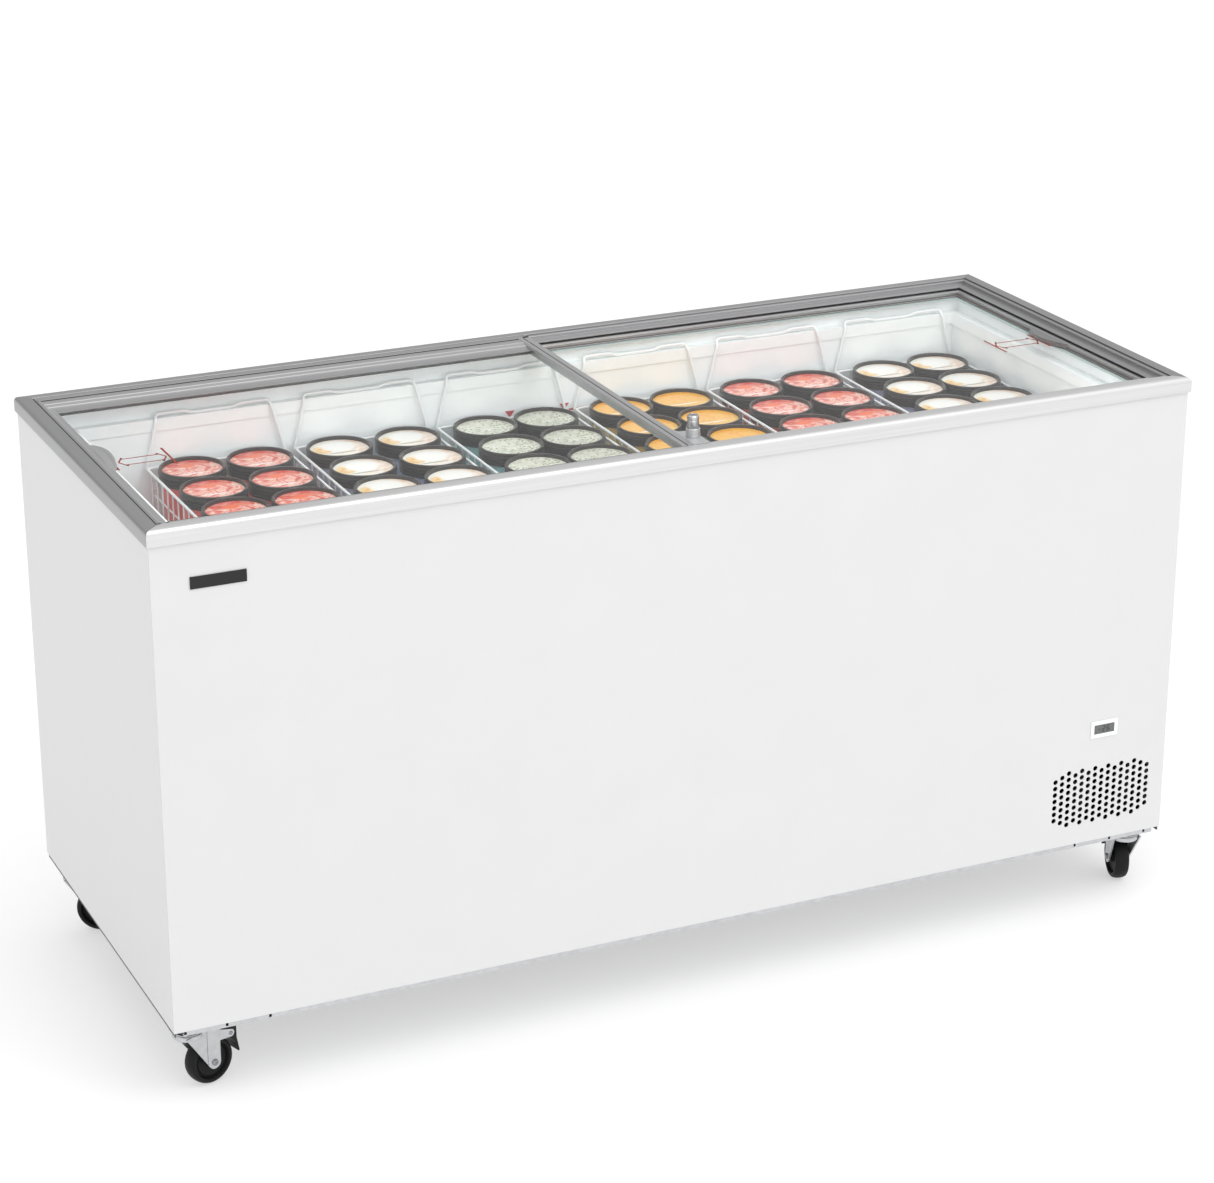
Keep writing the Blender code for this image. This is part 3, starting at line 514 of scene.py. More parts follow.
relief = 0.0002                                      # hairline left at each mitre
wide, narrow = collar_section(287.5), collar_section(296.0)
flip = np.array([-1, 1])
reach_x = wide[:, 0] + MITRE - relief
rear, front = bar(wide, -reach_x, reach_x), bar(wide * flip, -reach_x, reach_x)
reach_y, reach_left = wide[:, 0] - relief, narrow[:, 0] - relief
right = bar(wide + (MITRE, 0), -reach_y, reach_y, "y")
left = bar((narrow + (MITRE, 0)) * flip, -reach_left, reach_left, "y")
# The rear member takes the rear rails' darker grey and the side members a dark grey, as painted shade; the
# front member's light grey is a painted highlight.
piece("collar_rear_member", [rear], rear_rails_shade_grey, "cabinet", ["collar_rear"])
piece("collar_front_member", [front], collar_front_highlight_grey, "cabinet", ["collar_front"])
piece("collar_right_member", [right], collar_sides_shade_grey, "cabinet", ["collar_right"])
piece("collar_left_member", [left], collar_sides_shade_grey, "cabinet", ["collar_left"])


# %% [markdown]
# The upper lid's frame is wide at the back, where it steps down to the glass past a groove and two
# half-round beads, and narrow elsewhere. A stile closes its right side, and at the front a plate
# reaches out to hold the lock. All are sections carried along straight lines.

# %% Upper lid frame
BEAD = 1.2                                           # radius of a half-round bead, mm


def bead(centre, depth, steps=6):
    """Points in mm over a half-round bead, nine tenths as high as round, from its higher side down."""
    angle = np.linspace(0, np.pi, steps + 1)
    across, rise = centre + BEAD * np.cos(angle), BEAD * 0.9 * np.sin(angle)
    return list(zip(across.tolist(), (depth - rise).tolist()))


rear_rail = below((305.2, 7.2), (305.2, 1.7), (312.2, 1.7), (312.2, 0.4), (298.8, 0.4), (298.5, 0.6),
                  (298.4, 2.8), (296.4, 2.8), (295.8, 1.5), (280.2, 1.7), *bead(278.5, 1.9), (277.0, 2.0),
                  (269.6, 3.5), *bead(267.8, 3.7), (266.2, 4.0), (264.0, 4.5), (247.8, 6.0), (246.2, 5.7),
                  (244.6, 6.1), (244.6, 7.2))
end_rail = below((-812.7, 7.2), (-812.7, 1.7), (-819.7, 1.7), (-819.7, 0.4), (-818.6, 0.4), (-818.3, 1.2),
                 (-817.4, 1.2), (-817.0, 0.4), (-813.8, 0.4), (-812.8, 2.2), (-811.8, 3.4), (-807.5, 4.2),
                 (-806.6, 3.9), (-805.6, 4.6), (-801.3, 6.2), (-801.3, 7.2))
stile = below((-21.5, 7.2), (-21.5, 4.4), (-21.9, 3.9), (-21.5, 3.4), (-21.5, 1.4), (-20.8, 0.5),
              (-14.6, 0.4), (-14.3, 1.8), (-12.7, 1.8), (-12.4, 0.4), (-3.0, 0.4), (-2.0, 1.0), (-2.0, 7.2))
sill = below((-304.7, 7.2), (-304.7, 4.9), (-304.0, 4.5), (-298.4, 4.5), (-297.7, 5.0), (-297.7, 7.2))
corner_edge = below((305.2, 1.7), (312.2, 1.7), (312.2, 0.4), (299.2, 0.4))
lengthwise = [bar(rear_rail, -0.8127, -0.0030), bar(sill, -0.8125, -0.0030)]
lengthwise.append(bar(corner_edge, -0.8197, -0.8126))
# The rear rail's darker grey is painted shade.
piece("lid_frame_rear_rail", lengthwise, rear_rails_shade_grey, "upper_lid", ["upper_frame"], 25)

lock_x, lock_y = (float((a + b) / 2) for a, b in zip(*[c[:2] for c in box_of("lock_plunger")]))
plate = rounded(mm((-10, -300), (27, -300), (27, -252), (20, -235), (6, -235), (-1.8, -215), (-10, -215)),
                mm(0.5, 3, 8, 5, 6, 8, 0.5), 6)
bored = punched(plate, [circle((lock_x, lock_y), 0.0045)], TOP - 0.0072, TOP - 0.0035)
piece("lid_frame_lock_plate", [bored], lock_grey, "upper_lid", (), 25)

# Black strips in the bottom of the rear rail's groove and of the stile's groove are painted shade that
# darkens the grooves.
rail_groove_shade = below((298.35, 2.75), (298.35, 1.0), (296.5, 1.6), (296.5, 2.75))
stile_groove_shade = below((-14.25, 1.75), (-14.25, 1.3), (-12.75, 1.3), (-12.75, 1.75))
groove_shade_black = moulded("black_painted_groove_shade", "#17181A", 0.6)
groove_shade_strips = [bar(rail_groove_shade, -0.8120, -0.0216), bar(stile_groove_shade, -0.3046, 0.2980, "y")]
piece("lid_frame_groove_shade", groove_shade_strips, groove_shade_black, "upper_lid", ())

crosswise = [bar(end_rail, -0.3047, 0.2990, "y"), bar(stile, -0.3047, 0.3052, "y")]
piece("lid_frame_stile_and_end", crosswise, lid_grey_y, "upper_lid", (), 25)


# %% [markdown]
# Each lid has its own pull. The upper one is a half-moon that swells up out of the end rail, thick
# in the middle and fading into the rail at both ends. The lower one is a flat leaf let into the
# frame, low enough for the upper lid to pass over it.

# %% Pulls
def half_moon(steps=48, rings=24):
    """A nearly flat half-moon over the end rail, with a raised ridge along its curved edge.

    Width and height fall as cos(u pi/2)^0.75 along y; the ridge is a fixed profile across x.
    """
    (x0, y0, _), (x1, y1, z1) = (v.tolist() for v in box_of("upper_handle"))
    u = np.linspace(-1, 1, steps)[:, None]
    v = np.linspace(0, 1, rings)[None, :]
    swell = np.clip(np.cos(u * np.pi / 2), 0, None) ** 0.75
    inner = x0 - 0.0055
    edge = x0 + (x1 - x0) * swell
    x = inner + (edge - inner) * v
    y = (y0 + y1) / 2 + u * (y1 - y0) / 2 + 0 * v
    crown = (z1 - (TOP - 0.0060)) * swell
    ridge = np.interp(v, [0, 0.05, 0.60, 0.82, 0.93, 1.0], [0.10, 0.45, 0.52, 1.0, 0.96, 0.15])
    top = TOP - 0.0060 + crown * ridge
    upper = np.stack([x, y, top], axis=-1)
    lower = np.stack([x, y, np.full_like(top, TOP - 0.0072)], axis=-1)[:, ::-1]
    return grid(np.concatenate([upper, lower], axis=1))


piece("upper_lid_pull", [half_moon()], lid_grey_y, "upper_lid", ["upper_handle"], 50)


def leaf(steps=48):
    """A flat leaf: its width falls as cos(u pi/2)^0.9 towards both tips, with a soft upper edge."""
    (x0, y0, z0), (x1, y1, z1) = (v.tolist() for v in box_of("lower_handle"))
    u = np.linspace(-1, 1, steps)[:, None]
    width = np.cos(u * np.pi / 2) ** 0.9
    inner, outer = x1 - (x1 - x0) * width, x1 - 0.0001 + 0 * width
    x = np.concatenate([inner, inner + 0.0006 * width, outer - 0.0001, outer], axis=1)
    y = (y0 + y1) / 2 + u * (y1 - y0) / 2 + 0 * x
    z = np.array([[z0, z1, z1, z0]]) + 0 * x
    return grid(np.stack([x, y, z], axis=-1))


piece("lower_lid_pull", [leaf()], pull_grey, "lower_lid", ["lower_handle"], 40)


# %% [markdown]
# The lower lid's frame is a slim square ring that runs on the throat's flange. Its inner wall has a
# small bead above the glass, and a grey seal grips the glass edge.

# %% Lower lid frame
RING_LEFT = -0.0100                                  # its left member hides under the stile
RING_RIGHT, RING_BACK = (float(v) for v in box_of("lower_frame")[1][:2])


def lower_ring(*section):
    """Carry (inset from the frame's edge, depth) points in mm round the lower lid."""
    inset, z = below(*section).T
    left, right, back = RING_LEFT + inset, RING_RIGHT - inset, RING_BACK - inset
    corners = [(left, -back), (right, -back), (right, back), (left, back)]
    return grid(np.stack([np.column_stack([x, y, z]) for x, y in corners]), round_rows=True)


ring = lower_ring((0, 24.2), (0, 11.6), (0.2, 11.4), (5.2, 11.4), (6, 12), (6, 13.2), (6.4, 13.8), (6, 14.4),
                  (6, 18.6), (9.6, 18.6), (9.8, 18.9), (6, 19), (6, 22.7), (10, 22.7), (10, 24.2))
piece("lower_lid_ring", [ring], lid_grey_y, "lower_lid", ["lower_frame"], 30)
bedding = lower_ring((10, 22.7), (18, 22.7), (18, 23.3), (10, 23.3))
bedding_vinyl = moulded("clear_vinyl_bedding", "#B4C2BE", 0.45)
piece("lower_glass_bedding", [bedding], bedding_vinyl, "lower_lid", (), 60)
seal = lower_ring((6, 18.9), (6, 18.2), (7.5, 17.6), (9, 18.2), (9.2, 18.9))
seal_dark = moulded("grey_rubber_seal", "#5E5852", 0.55)
piece("lower_glass_seal", [seal], seal_dark, "lower_lid", (), 60)


# %% [markdown]
# The push lock is a chromed barrel in a sleeve. Turned sections give both their small chamfers, and
# the key plug in the middle keeps its own slot.

# %% Push lock
def turned_like(node, *section):
    """A turned piece on the lock's axis, from (radius, height above the node's foot) points in mm."""
    foot = float(box_of(node)[0][2])
    return turned(mm(*section) + (0, foot), 64, (lock_x, lock_y, 0), ring=True)


def height_of(node):
    """Height of a frame node in mm."""
    low, high = box_of(node)
    return float(high[2] - low[2]) * 1000


h = height_of("lock_sleeve")
sleeve = turned_like("lock_sleeve", (9.15, 0), (10.8, 0), (10.8, h - 4.5), (10.4, h - 4.2), (10.4, h - 3.0),
                     (10.8, h - 2.6), (10.8, h - 1.0), (10.2, h), (9.4, h), (9.15, h - 0.4))
piece("lock_sleeve_turned", [sleeve], lock_grey, "upper_lid", ["lock_sleeve"], 30)
h, stem = height_of("lock_plunger"), 17.3
barrel = turned_like("lock_plunger", (0.2, 0), (3.4, 0), (4.0, 0.6), (4.0, stem), (8.85, stem),
                     (8.85, h - 8.5), (8.3, h - 8.0), (8.3, h - 6.5), (8.85, h - 6.0), (8.85, h - 1.6),
                     (7.6, h), (5.4, h), (5.05, h - 0.4), (5.05, h - 7.8), (0.2, h - 7.8))
piece("lock_barrel", [barrel], chrome, "lock_button", ["lock_plunger"], 30)


# %% [markdown]
# The baskets are welded wire: U-shaped wires run down one wall, across the floor and up the other,
# rings tie them together, and a thick rim carries a bent hanger at each end. The hanger's middle
# is dipped for the fingers. A wire is a circle carried along its bent path.

# %% Wire baskets
FINE, THICK, HANGER = 0.0014, 0.0023, 0.0026         # wire radii
RIM, HALF_Y = 0.7677, 0.2602                         # height of the rim, half the basket's depth


def rectangle(half_x, half_y, z):
    """Four corners round the basket's axis at one height."""
    return [(-half_x, -half_y, z), (half_x, -half_y, z), (half_x, half_y, z), (-half_x, half_y, z)]


def basket_wires(node):
    """All wires of one basket, placed from its node's box."""
    low, high = box_of(node)
    middle, half_x = float(low[0] + high[0]) / 2, float(high[0] - low[0]) / 2 - THICK
    floor = float(low[2]) + THICK
    wires = []                                       # path, radius, side, number of sides, closed
    for y in np.linspace(-HALF_Y, HALF_Y, 21)[1:-1]:
        path = [(-half_x, y, RIM), (-half_x, y, floor), (half_x, y, floor), (half_x, y, RIM)]
        wires.append((rounded(path, 0.012, 4, False), FINE, (0, 1, 0), 6, False))
    for x in np.linspace(-half_x, half_x, 9)[1:-1]:
        low_z = floor + 2 * FINE
        path = [(x, -HALF_Y, RIM), (x, -HALF_Y, low_z), (x, HALF_Y, low_z), (x, HALF_Y, RIM)]
        wires.append((rounded(path, 0.012, 4, False), FINE, (1, 0, 0), 6, False))
    for z in np.linspace(floor + 0.03, RIM - 0.035, 5):
        path = rectangle(half_x - 2 * FINE, HALF_Y - 2 * FINE, z)
        wires.append((rounded(path, 0.014, 5), FINE, (0, 0, 1), 6, True))
    wires.append((rounded(rectangle(half_x, HALF_Y, RIM), 0.012, 6), THICK, (0, 0, 1), 8, True))
    for sign in (-1, 1):
        wires.append((hanger(half_x, sign), HANGER, (0, 1, 0), 10, False))
    return [wire(path + (middle, 0, 0), *rest) for path, *rest in wires]


def hanger(half_x, sign):
    """Path of a hanger: up from the rim's corners, over the ledge and along to the dipped grip."""
    bar_x, shoulder, grip, ledge_y = 0.0917, 0.8507, 0.8465, 0.2705
    half = [(half_x, HALF_Y, RIM), (bar_x + 0.002, HALF_Y + 0.001, shoulder - 0.0085),
            (bar_x, ledge_y, shoulder), (0.046, ledge_y, shoulder), (0.034, ledge_y, grip)]
    path = half + [(-x, y, z) for x, y, z in reversed(half)]
    radii = [0.001, 0.006, 0.008, 0.006, 0.006]
    return rounded([(x, sign * y, z) for x, y, z in path], radii + radii[::-1], 5, False)


for number in range(1, 7):
    made = piece(f"wire_basket_{number}", basket_wires(f"basket_{number}"), wire_white, f"basket_{number}",
                 [f"basket_{number}"], 60)
print("one basket has", len(made.data.polygons), "faces")


# %% [markdown]
# Each tub has a black lid with a ribbed edge and a grooved skirt, and a printed disc sunk into it.
# The disc and the cup under the lid differ from flavour to flavour. A lid is turned, with ribs as
# a ripple of the radius; the disc keeps its own flat coordinates so that the print follows it.

# %% Tub shapes
LID_R, LID_TOP, CUP_DEPTH = 51.9, 780.0, 104.0       # radius, height of the rim and cup depth, mm


def lid_ribs(section, angle):
    """Forty-eight ribs that wave 0.45 mm in and out, only on the points of the upper outer edge."""
    radius, height = section[:, :1] * 1000 - LID_R, section[:, 1:] * 1000
    on_edge = ((radius > -1.0) & (height > -6.0)).astype(float)
    return on_edge * 0.00045 * np.cos(48 * angle)


def tub_lid(x, y):
    """Lid: grooved skirt, ribbed rim and the wall that drops to the disc."""
    skirt = [(-3.0, -21.5), (-0.4, -21.5), (0, -21.1), (0, -17.2), (-1.3, -16.5), (-1.3, -15.0), (0, -14.3),
             (0, -11.2), (-1.1, -10.5), (-1.1, -9.4), (0.3, -8.7), (0.3, -6.2), (-0.5, -5.6), (-0.5, -0.8),
             (-1.2, 0), (-3.6, 0), (-4.4, -0.8), (-4.8, -5.8), (1.0 - LID_R, -5.8), (1.0 - LID_R, -7.0),
             (-6.0, -7.0)]
    section = mm(*skirt) + mm(LID_R, 0)
    return turned(section, 96, (x, y, LID_TOP / 1000), ring=True, ripple=lid_ribs)


def tub_disc(x, y):
    """Printed disc: a very flat turned plate just above the lid's floor."""
    section = mm((0.2, -5.6), (23.6, -5.4), (LID_R - 5.4, -5.5), (LID_R - 5.2, -5.7))
    return turned(section, 48, (x, y, LID_TOP / 1000))


def tub_cup(x, y):
    """Tapered cup with a rolled foot."""
    top, bottom = LID_R - 3.2, 42.0
    section = mm((top, -20.5), (top - 0.4, -30.0), (bottom + 0.6, 4 - CUP_DEPTH), (bottom, -CUP_DEPTH),
                 (bottom - 2, -CUP_DEPTH), (0.5, 2 - CUP_DEPTH))
    return turned(section, 48, (x, y, LID_TOP / 1000))


def disc_coordinates(mesh, centres):
    """Store (x, y) in the nearest tub's own frame, from -1 to 1 across the disc, as a UV map."""
    count = len(mesh.loops)
    vertex = np.empty(count, np.int32)
    mesh.loops.foreach_get("vertex_index", vertex)
    place = np.empty(len(mesh.vertices) * 3)
    mesh.vertices.foreach_get("co", place)
    place = place.reshape(-1, 3)[vertex, :2]
    gap = np.linalg.norm(place[:, None] - centres[None], axis=2)
    local = (place - centres[gap.argmin(1)]) / (LID_R / 1000)
    layer = mesh.uv_layers.new(name="label")
    layer.data.foreach_set("uv", local.astype(np.float32).ravel())


# %% [markdown]
# The printed discs show the flavour only as a picture: red swirls of sorbet, a vanilla ball beside
# a wafer cone, pale mint with dark chips, and yellow fruit slices. Each picture is worked out from
# the disc's own coordinates, and carries no lettering.

# %% Printed labels
def label_start(name):
    """A glossy printed card and its disc coordinates: x to the right, y to the back."""
    material, tree, shader = start_material(name, "#FFFFFF", 0.30, Coat_Weight=0.3, Coat_Roughness=0.15)
    uv = add_node(tree, "ShaderNodeUVMap", uv_map="label").outputs[0]
    return material, tree, shader, uv


def axis(tree, uv, number):
    """One of the disc coordinates by itself: 0 is x and 1 is y."""
    return add_node(tree, "ShaderNodeSeparateXYZ", {0: uv}).outputs[number]


def blob(tree, uv, centre, radius, soft=0.1, squeeze=(1, 1, 1)):
    """1 inside an ellipse round `centre`, falling to 0 across `soft`."""
    moved = add_node(tree, "ShaderNodeVectorMath", {0: uv, 1: (*centre, 0)}, operation="SUBTRACT").outputs[0]
    shaped = add_node(tree, "ShaderNodeVectorMath", {0: moved, 1: squeeze}, operation="MULTIPLY").outputs[0]
    length = add_node(tree, "ShaderNodeVectorMath", {0: shaped}, operation="LENGTH").outputs["Value"]
    falling = {0: length, 1: radius, 2: radius + soft, 3: 1.0, 4: 0.0}
    return add_node(tree, "ShaderNodeMapRange", falling).outputs[0]


def span(tree, value, low, high):
    """0 below `low`, 1 above `high` and a ramp between."""
    return add_node(tree, "ShaderNodeMapRange", {0: value, 1: low, 2: high}).outputs[0]


def blend(tree, factor, first, second):
    """Mix two colours; either may be a hex string or a socket."""
    first, second = (linear(c) if isinstance(c, str) else c for c in (first, second))
    return add_node(tree, "ShaderNodeMix", {0: factor, 6: first, 7: second}, data_type="RGBA").outputs[2]


def stir(tree, uv, scale, distortion, detail=2.0):
    """Noise pulled into folds, as in stirred ice cream."""
    settings = {"Vector": uv, "Scale": scale, "Distortion": distortion, "Detail": detail}
    return add_node(tree, "ShaderNodeTexNoise", settings).outputs[0]


def finish_label(tree, shader, uv, picture, mark):
    """Add the thin plain bar that stands in for a title, and connect the picture."""
    bar_shape = blob(tree, uv, (-0.05, -0.34), 0.34, 0.03, (0.72, 8.0, 1))
    tree.links.new(blend(tree, bar_shape, picture, mark), shader.inputs["Base Color"])


def sorbet_label():
    """Folded sorbet from deep red to pinkish white, redder at the back, with an orange berry."""
    material, tree, shader, uv = label_start("label_red_sorbet")
    folds = ramp(tree, stir(tree, uv, 1.7, 2.6), [(0.32, "#D24534"), (0.42, "#E6735F"), (0.49, "#F09E8B"),
                                                  (0.55, "#FCE6DC"), (0.60, "#E47862"), (0.72, "#F6C2B1")])
    deep = blend(tree, span(tree, axis(tree, uv, 1), 0.45, 1.0), folds, "#DF3A33")
    berry = blob(tree, uv, (-0.02, 0.42), 0.17, 0.10, (0.8, 1.2, 1))
    finish_label(tree, shader, uv, blend(tree, berry, deep, "#EE6A36"), "#FBEDEA")
    return material


def vanilla_label():
    """A pale ball on top of a golden wafer cone, over cream that turns to peach on the right."""
    material, tree, shader, uv = label_start("label_vanilla")
    peach = ramp(tree, stir(tree, uv, 1.6, 2.0), [(0.35, "#EBC9AE"), (0.5, "#F4DFCE"), (0.65, "#FAF0E6")])
    field = blend(tree, span(tree, axis(tree, uv, 0), -0.35, 0.55), "#FAF5EA", peach)
    cone = blob(tree, uv, (-0.52, 0.08), 0.22, 0.08, (0.90, 0.75, 1))
    wafer = ramp(tree, stir(tree, uv, 5.0, 0.4), [(0.4, "#EBB45F"), (0.6, "#F7D89E")])
    ball = blob(tree, uv, (0.06, 0.26), 0.36, 0.12, (0.80, 0.85, 1))
    with_cone = blend(tree, cone, field, wafer)
    finish_label(tree, shader, uv, blend(tree, ball, with_cone, "#FAF7F2"), "#A9A49C")
    return material


def mint_label():
    """Pale mint ice with brown and green chips two or three millimetres wide."""
    material, tree, shader, uv = label_start("label_mint_chips")
    base = ramp(tree, stir(tree, uv, 4.0, 0.5, 4.0), [(0.35, "#D3D2BF"), (0.65, "#EFEEE0")])
    chips = add_node(tree, "ShaderNodeTexVoronoi", {"Vector": uv, "Scale": 8.5}).outputs["Distance"]
    leaves = add_node(tree, "ShaderNodeTexVoronoi", {"Vector": uv, "Scale": 6.3}).outputs["Distance"]
    green = blend(tree, span(tree, leaves, 0.26, 0.40), "#B0BE9C", base)
    finish_label(tree, shader, uv, blend(tree, span(tree, chips, 0.20, 0.31), "#4D443C", green), "#C2CBBF")
    return material


def fruit_label():
    """Golden fruit, orange at the back and paler in front, with a few darker cuts."""
    material, tree, shader, uv = label_start("label_yellow_fruit")
    flesh = blend(tree, span(tree, axis(tree, uv, 1), -0.7, 0.75), "#F2C262", "#F6AE1C")
    slices = stir(tree, uv, 1.9, 1.2, 1.0)
    cuts = ramp(tree, slices, [(0.46, "#FFFFFF"), (0.50, "#EDB055"), (0.53, "#FFFFFF")])
    both = {0: 0.55, 6: flesh, 7: cuts}
    cut_flesh = add_node(tree, "ShaderNodeMix", both, data_type="RGBA", blend_type="MULTIPLY").outputs[2]
    finish_label(tree, shader, uv, cut_flesh, "#FCF3E2")
    return material


cup_colours = {"sorbet": "#EC6A62", "vanilla": "#C3CEE8", "mint": "#ADE0DE", "fruit": "#F6CF7A"}
cups = {name: moulded(f"printed_cup_{name}", colour, 0.35) for name, colour in cup_colours.items()}
labels = {"sorbet": sorbet_label(), "vanilla": vanilla_label(), "mint": mint_label(), "fruit": fruit_label()}
flavours = ["sorbet", "vanilla", "mint", "fruit", "sorbet", "vanilla"]      # from left to right


# %% [markdown]
# Ten tubs stand in each basket, in two columns of five. They are stock rather than a part of the
# cabinet, so they simply ride on the basket that holds them.

# %% Tubs in the baskets
rows_y = mm(208.5, 103.7, -1.0, -106.0, -211.5).tolist()
columns = mm((-55.5, 54.0), (-56.5, 58.0), (-50.0, 55.5), (-52.0, 56.0), (-56.5, 56.5), (-48.0, 56.0))
for number, (flavour, offsets) in enumerate(zip(flavours, columns), 1):
    low, high = box_of(f"basket_{number}")
    middle = float(low[0] + high[0]) / 2
    centres = np.array([(middle + dx, y) for dx in offsets for y in rows_y])
    shapes = {"lids": (tub_lid, lid_black), "labels": (tub_disc, labels[flavour]),
              "cups": (tub_cup, cups[flavour])}
    for kind, (shape, finish) in shapes.items():
        made = piece(f"tub_{kind}_{number}", [shape(x, y) for x, y in centres.tolist()], finish,
                     f"basket_{number}", (), 40)
        if kind == "labels":
            disc_coordinates(made.data, centres)
print("tubs placed:", len(centres) * len(flavours))


# %% [markdown]
# The load line is a printed red stripe with small triangles on the liner's back wall. The arrows on
# the glass show which way each lid slides: two thin outlined arrows between two bars.

# %% Printed marks
def stroke(start, end, width, z, thick=0.0002):
    """A thin flat stroke on a level surface, from one (x, y) to another."""
    start, end = np.asarray(start, float), np.asarray(end, float)
    along = (end - start) / np.linalg.norm(end - start)
    side = np.array([-along[1], along[0]]) * width / 2
    return slab([start - side, end - side, end + side, start + side], z, z + thick)


def glass_arrows(left, right, middle, bars, z):
    """A double-headed arrow in outline between two bars, each given as (x, lowest y, highest y)."""
    head, neck, half, flare = 0.0095, 0.0085, 0.0135, 0.0190
    upper = [(left, middle), (left + head, middle + flare), (left + neck, middle + half),
             (right - neck, middle + half), (right - head, middle + flare)]
    lower = [(left + right - x, 2 * middle - y) for x, y in upper]
    outline = upper + lower
    strokes = [stroke(outline[i - 1], outline[i], 0.0026, z) for i in range(len(outline))]
    return strokes + [stroke((x, low), (x, high), 0.0034, z) for x, low, high in bars]


def arrows_on(lid, left, right, middle, bars):
    """Print the arrows just above a lid's glass."""
    print_z = float(box_of(f"{lid}_glass")[1][2]) + 0.0001
    strokes = glass_arrows(left, right, middle, bars, print_z)
    piece(f"{lid}_lid_arrows", strokes, arrow_brown, f"{lid}_lid", (), flat=True)


pull_edge = float(box_of("upper_handle")[1][0])
arrows_on("upper", pull_edge + 0.0015, -0.7140, -0.0160, [(-0.7945, -0.048, 0.003), (-0.7095, -0.053, 0.024)])
arrows_on("lower", 0.6905, 0.7675, -0.0085, [(0.688, -0.045, 0.026), (0.770, -0.045, 0.026)])


def upright(outline, face):
    """A print 0.3 mm thick in front of an upright face: an outline of (x, z) points in mm."""
    outline = mm(*outline)
    layers = [np.column_stack([outline[:, 0], np.full(len(outline), face - y), outline[:, 1]])
              for y in (0.0003, 0)]
    return grid(np.stack(layers))


print_y, line_low, line_high = 0.2679, 764.5, 767.5
marks = []
for left, right in ((-69.0, -57.0), (-46.0, -34.0), (53.5, 85.0)):
    stripe = [(left, line_low), (right, line_low), (right, line_high), (left, line_high)]
    marks.append(upright(stripe, print_y))
for x in (-51.5, 45.0):
    marks.append(upright([(x, 766.0), (x + 8.5, 777.5), (x - 8.5, 777.5)], print_y))
piece("load_line", marks, load_red, "cabinet", (), flat=True)


# %% [markdown]
# The display sits in a white bezel low on the right: a grey window with dark seven-segment
# numerals, drawn as small bars. The numerals are generic.

# %% Display
def digit(lit, x, z, face):
    """Seven segments of one numeral, 4.5 by 9 mm; `lit` names the lit ones, a to g."""
    width, half, stroke_width = 4.5, 4.5, 0.99
    gap, reach = stroke_width / 2, stroke_width
    made = []
    for name in sorted(lit):
        if name in "adg":
            level = z + {"a": 2 * half, "g": half, "d": 0}[name]
            left, right, low, high = x + reach, x + width - reach, level - gap, level + gap
        else:
            side, foot = x + (width if name in "bc" else 0), z + (half if name in "bf" else 0)
            left, right, low, high = side - gap, side + gap, foot + reach, foot + half - reach
        made.append(upright([(left, low), (right, low), (right, high), (left, high)], face))
    return made


screen = [corner.tolist() for corner in box_of("display_screen")]
(screen_left, screen_y, screen_low), (screen_right, _, screen_high) = screen
finish_node("display_screen", moulded("liquid_crystal_window", "#666967", 0.22))
numeral_z = (screen_low + screen_high) / 2 * 1000 - 4.5
figures = []
for i, lit in enumerate(("g", "abdeg", "acdefg")):
    numeral_x = (screen_left + (screen_right - screen_left) * (0.20 + 0.22 * i)) * 1000
    figures += digit(lit, numeral_x, numeral_z, screen_y - 0.0001)
piece("display_numerals", figures, pedal_black, "cabinet", (), flat=True)


# %% [markdown]
# A castor wheel is moulded in one piece: a crowned tread with rounded shoulders, a dished side with
# a raised hub, and a bore. Turning a fine section about the axle gives the soft highlights that the
# coarse frame wheel lacks. Its place and direction are read from the wheel's node.

# %% Castor wheels
def mirrored(half, *middle):
    """Half a section in mm, any points in its middle, and the same half on the other side, in metres."""
    return mm(*half, *middle, *[(r, -w) for r, w in reversed(half)])


def wheel_section():
    """(radius, distance across) from the bore over the hub, dish and shoulder to the tread."""
    half = [(4.8, 12.4), (9.2, 12.4), (10.0, 11.8), (10.6, 7.8), (13.0, 7.0), (22.5, 7.2), (24.0, 8.0),
            (25.2, 6.6), (26.8, 6.4), (28.4, 10.0), (29.6, 11.7), (31.2, 12.0), (33.5, 11.6), (35.6, 9.8),
            (36.8, 6.6), (37.4, 3.0)]
    return mirrored(half, (37.5, 0))


CORNERS = {"front_left": (-1, -1), "front_right": (1, -1), "rear_left": (-1, 1), "rear_right": (1, 1)}
SWIVEL_X, SWIVEL_Y = 0.807, 0.286                    # distance of each swivel from the middle


def castor_place(corner):
    """Swivel axis, wheel centre and trail direction of one castor."""
    side_x, side_y = CORNERS[corner]
    swivel = np.array([side_x * SWIVEL_X, side_y * SWIVEL_Y])
    low, high = box_of(f"wheel_{corner}")
    centre = (low + high) / 2
    along = centre[:2] - swivel
    return swivel, centre, along / np.linalg.norm(along)


def stand(surface, swivel, along):
    """Carry a surface from a castor's own frame (trail, across, up) to its place."""
    points, faces = surface
    across = np.array([-along[1], along[0]])
    placed = points.copy()
    placed[:, :2] = swivel + points[:, :1] * along + points[:, 1:2] * across
    return placed, faces


for corner in CORNERS:
    swivel, centre, along = castor_place(corner)
    points, faces = turned(wheel_section(), 64, (np.linalg.norm(centre[:2] - swivel), 0, centre[2]), 1, True)
    piece(f"turned_wheel_{corner}", [stand((points, faces), swivel, along)], tyre_black, f"wheel_{corner}",
          [f"wheel_{corner}"], 28)


# %% [markdown]
# The fork is pressed from zinc-plated sheet: a round crown, and two legs that fold out along a
# crease in front and end in a round foot at the axle. Ears behind the legs hold the brake pedal.
# Each leg is two flat plates with a sunken line between them, where the sheet is folded.

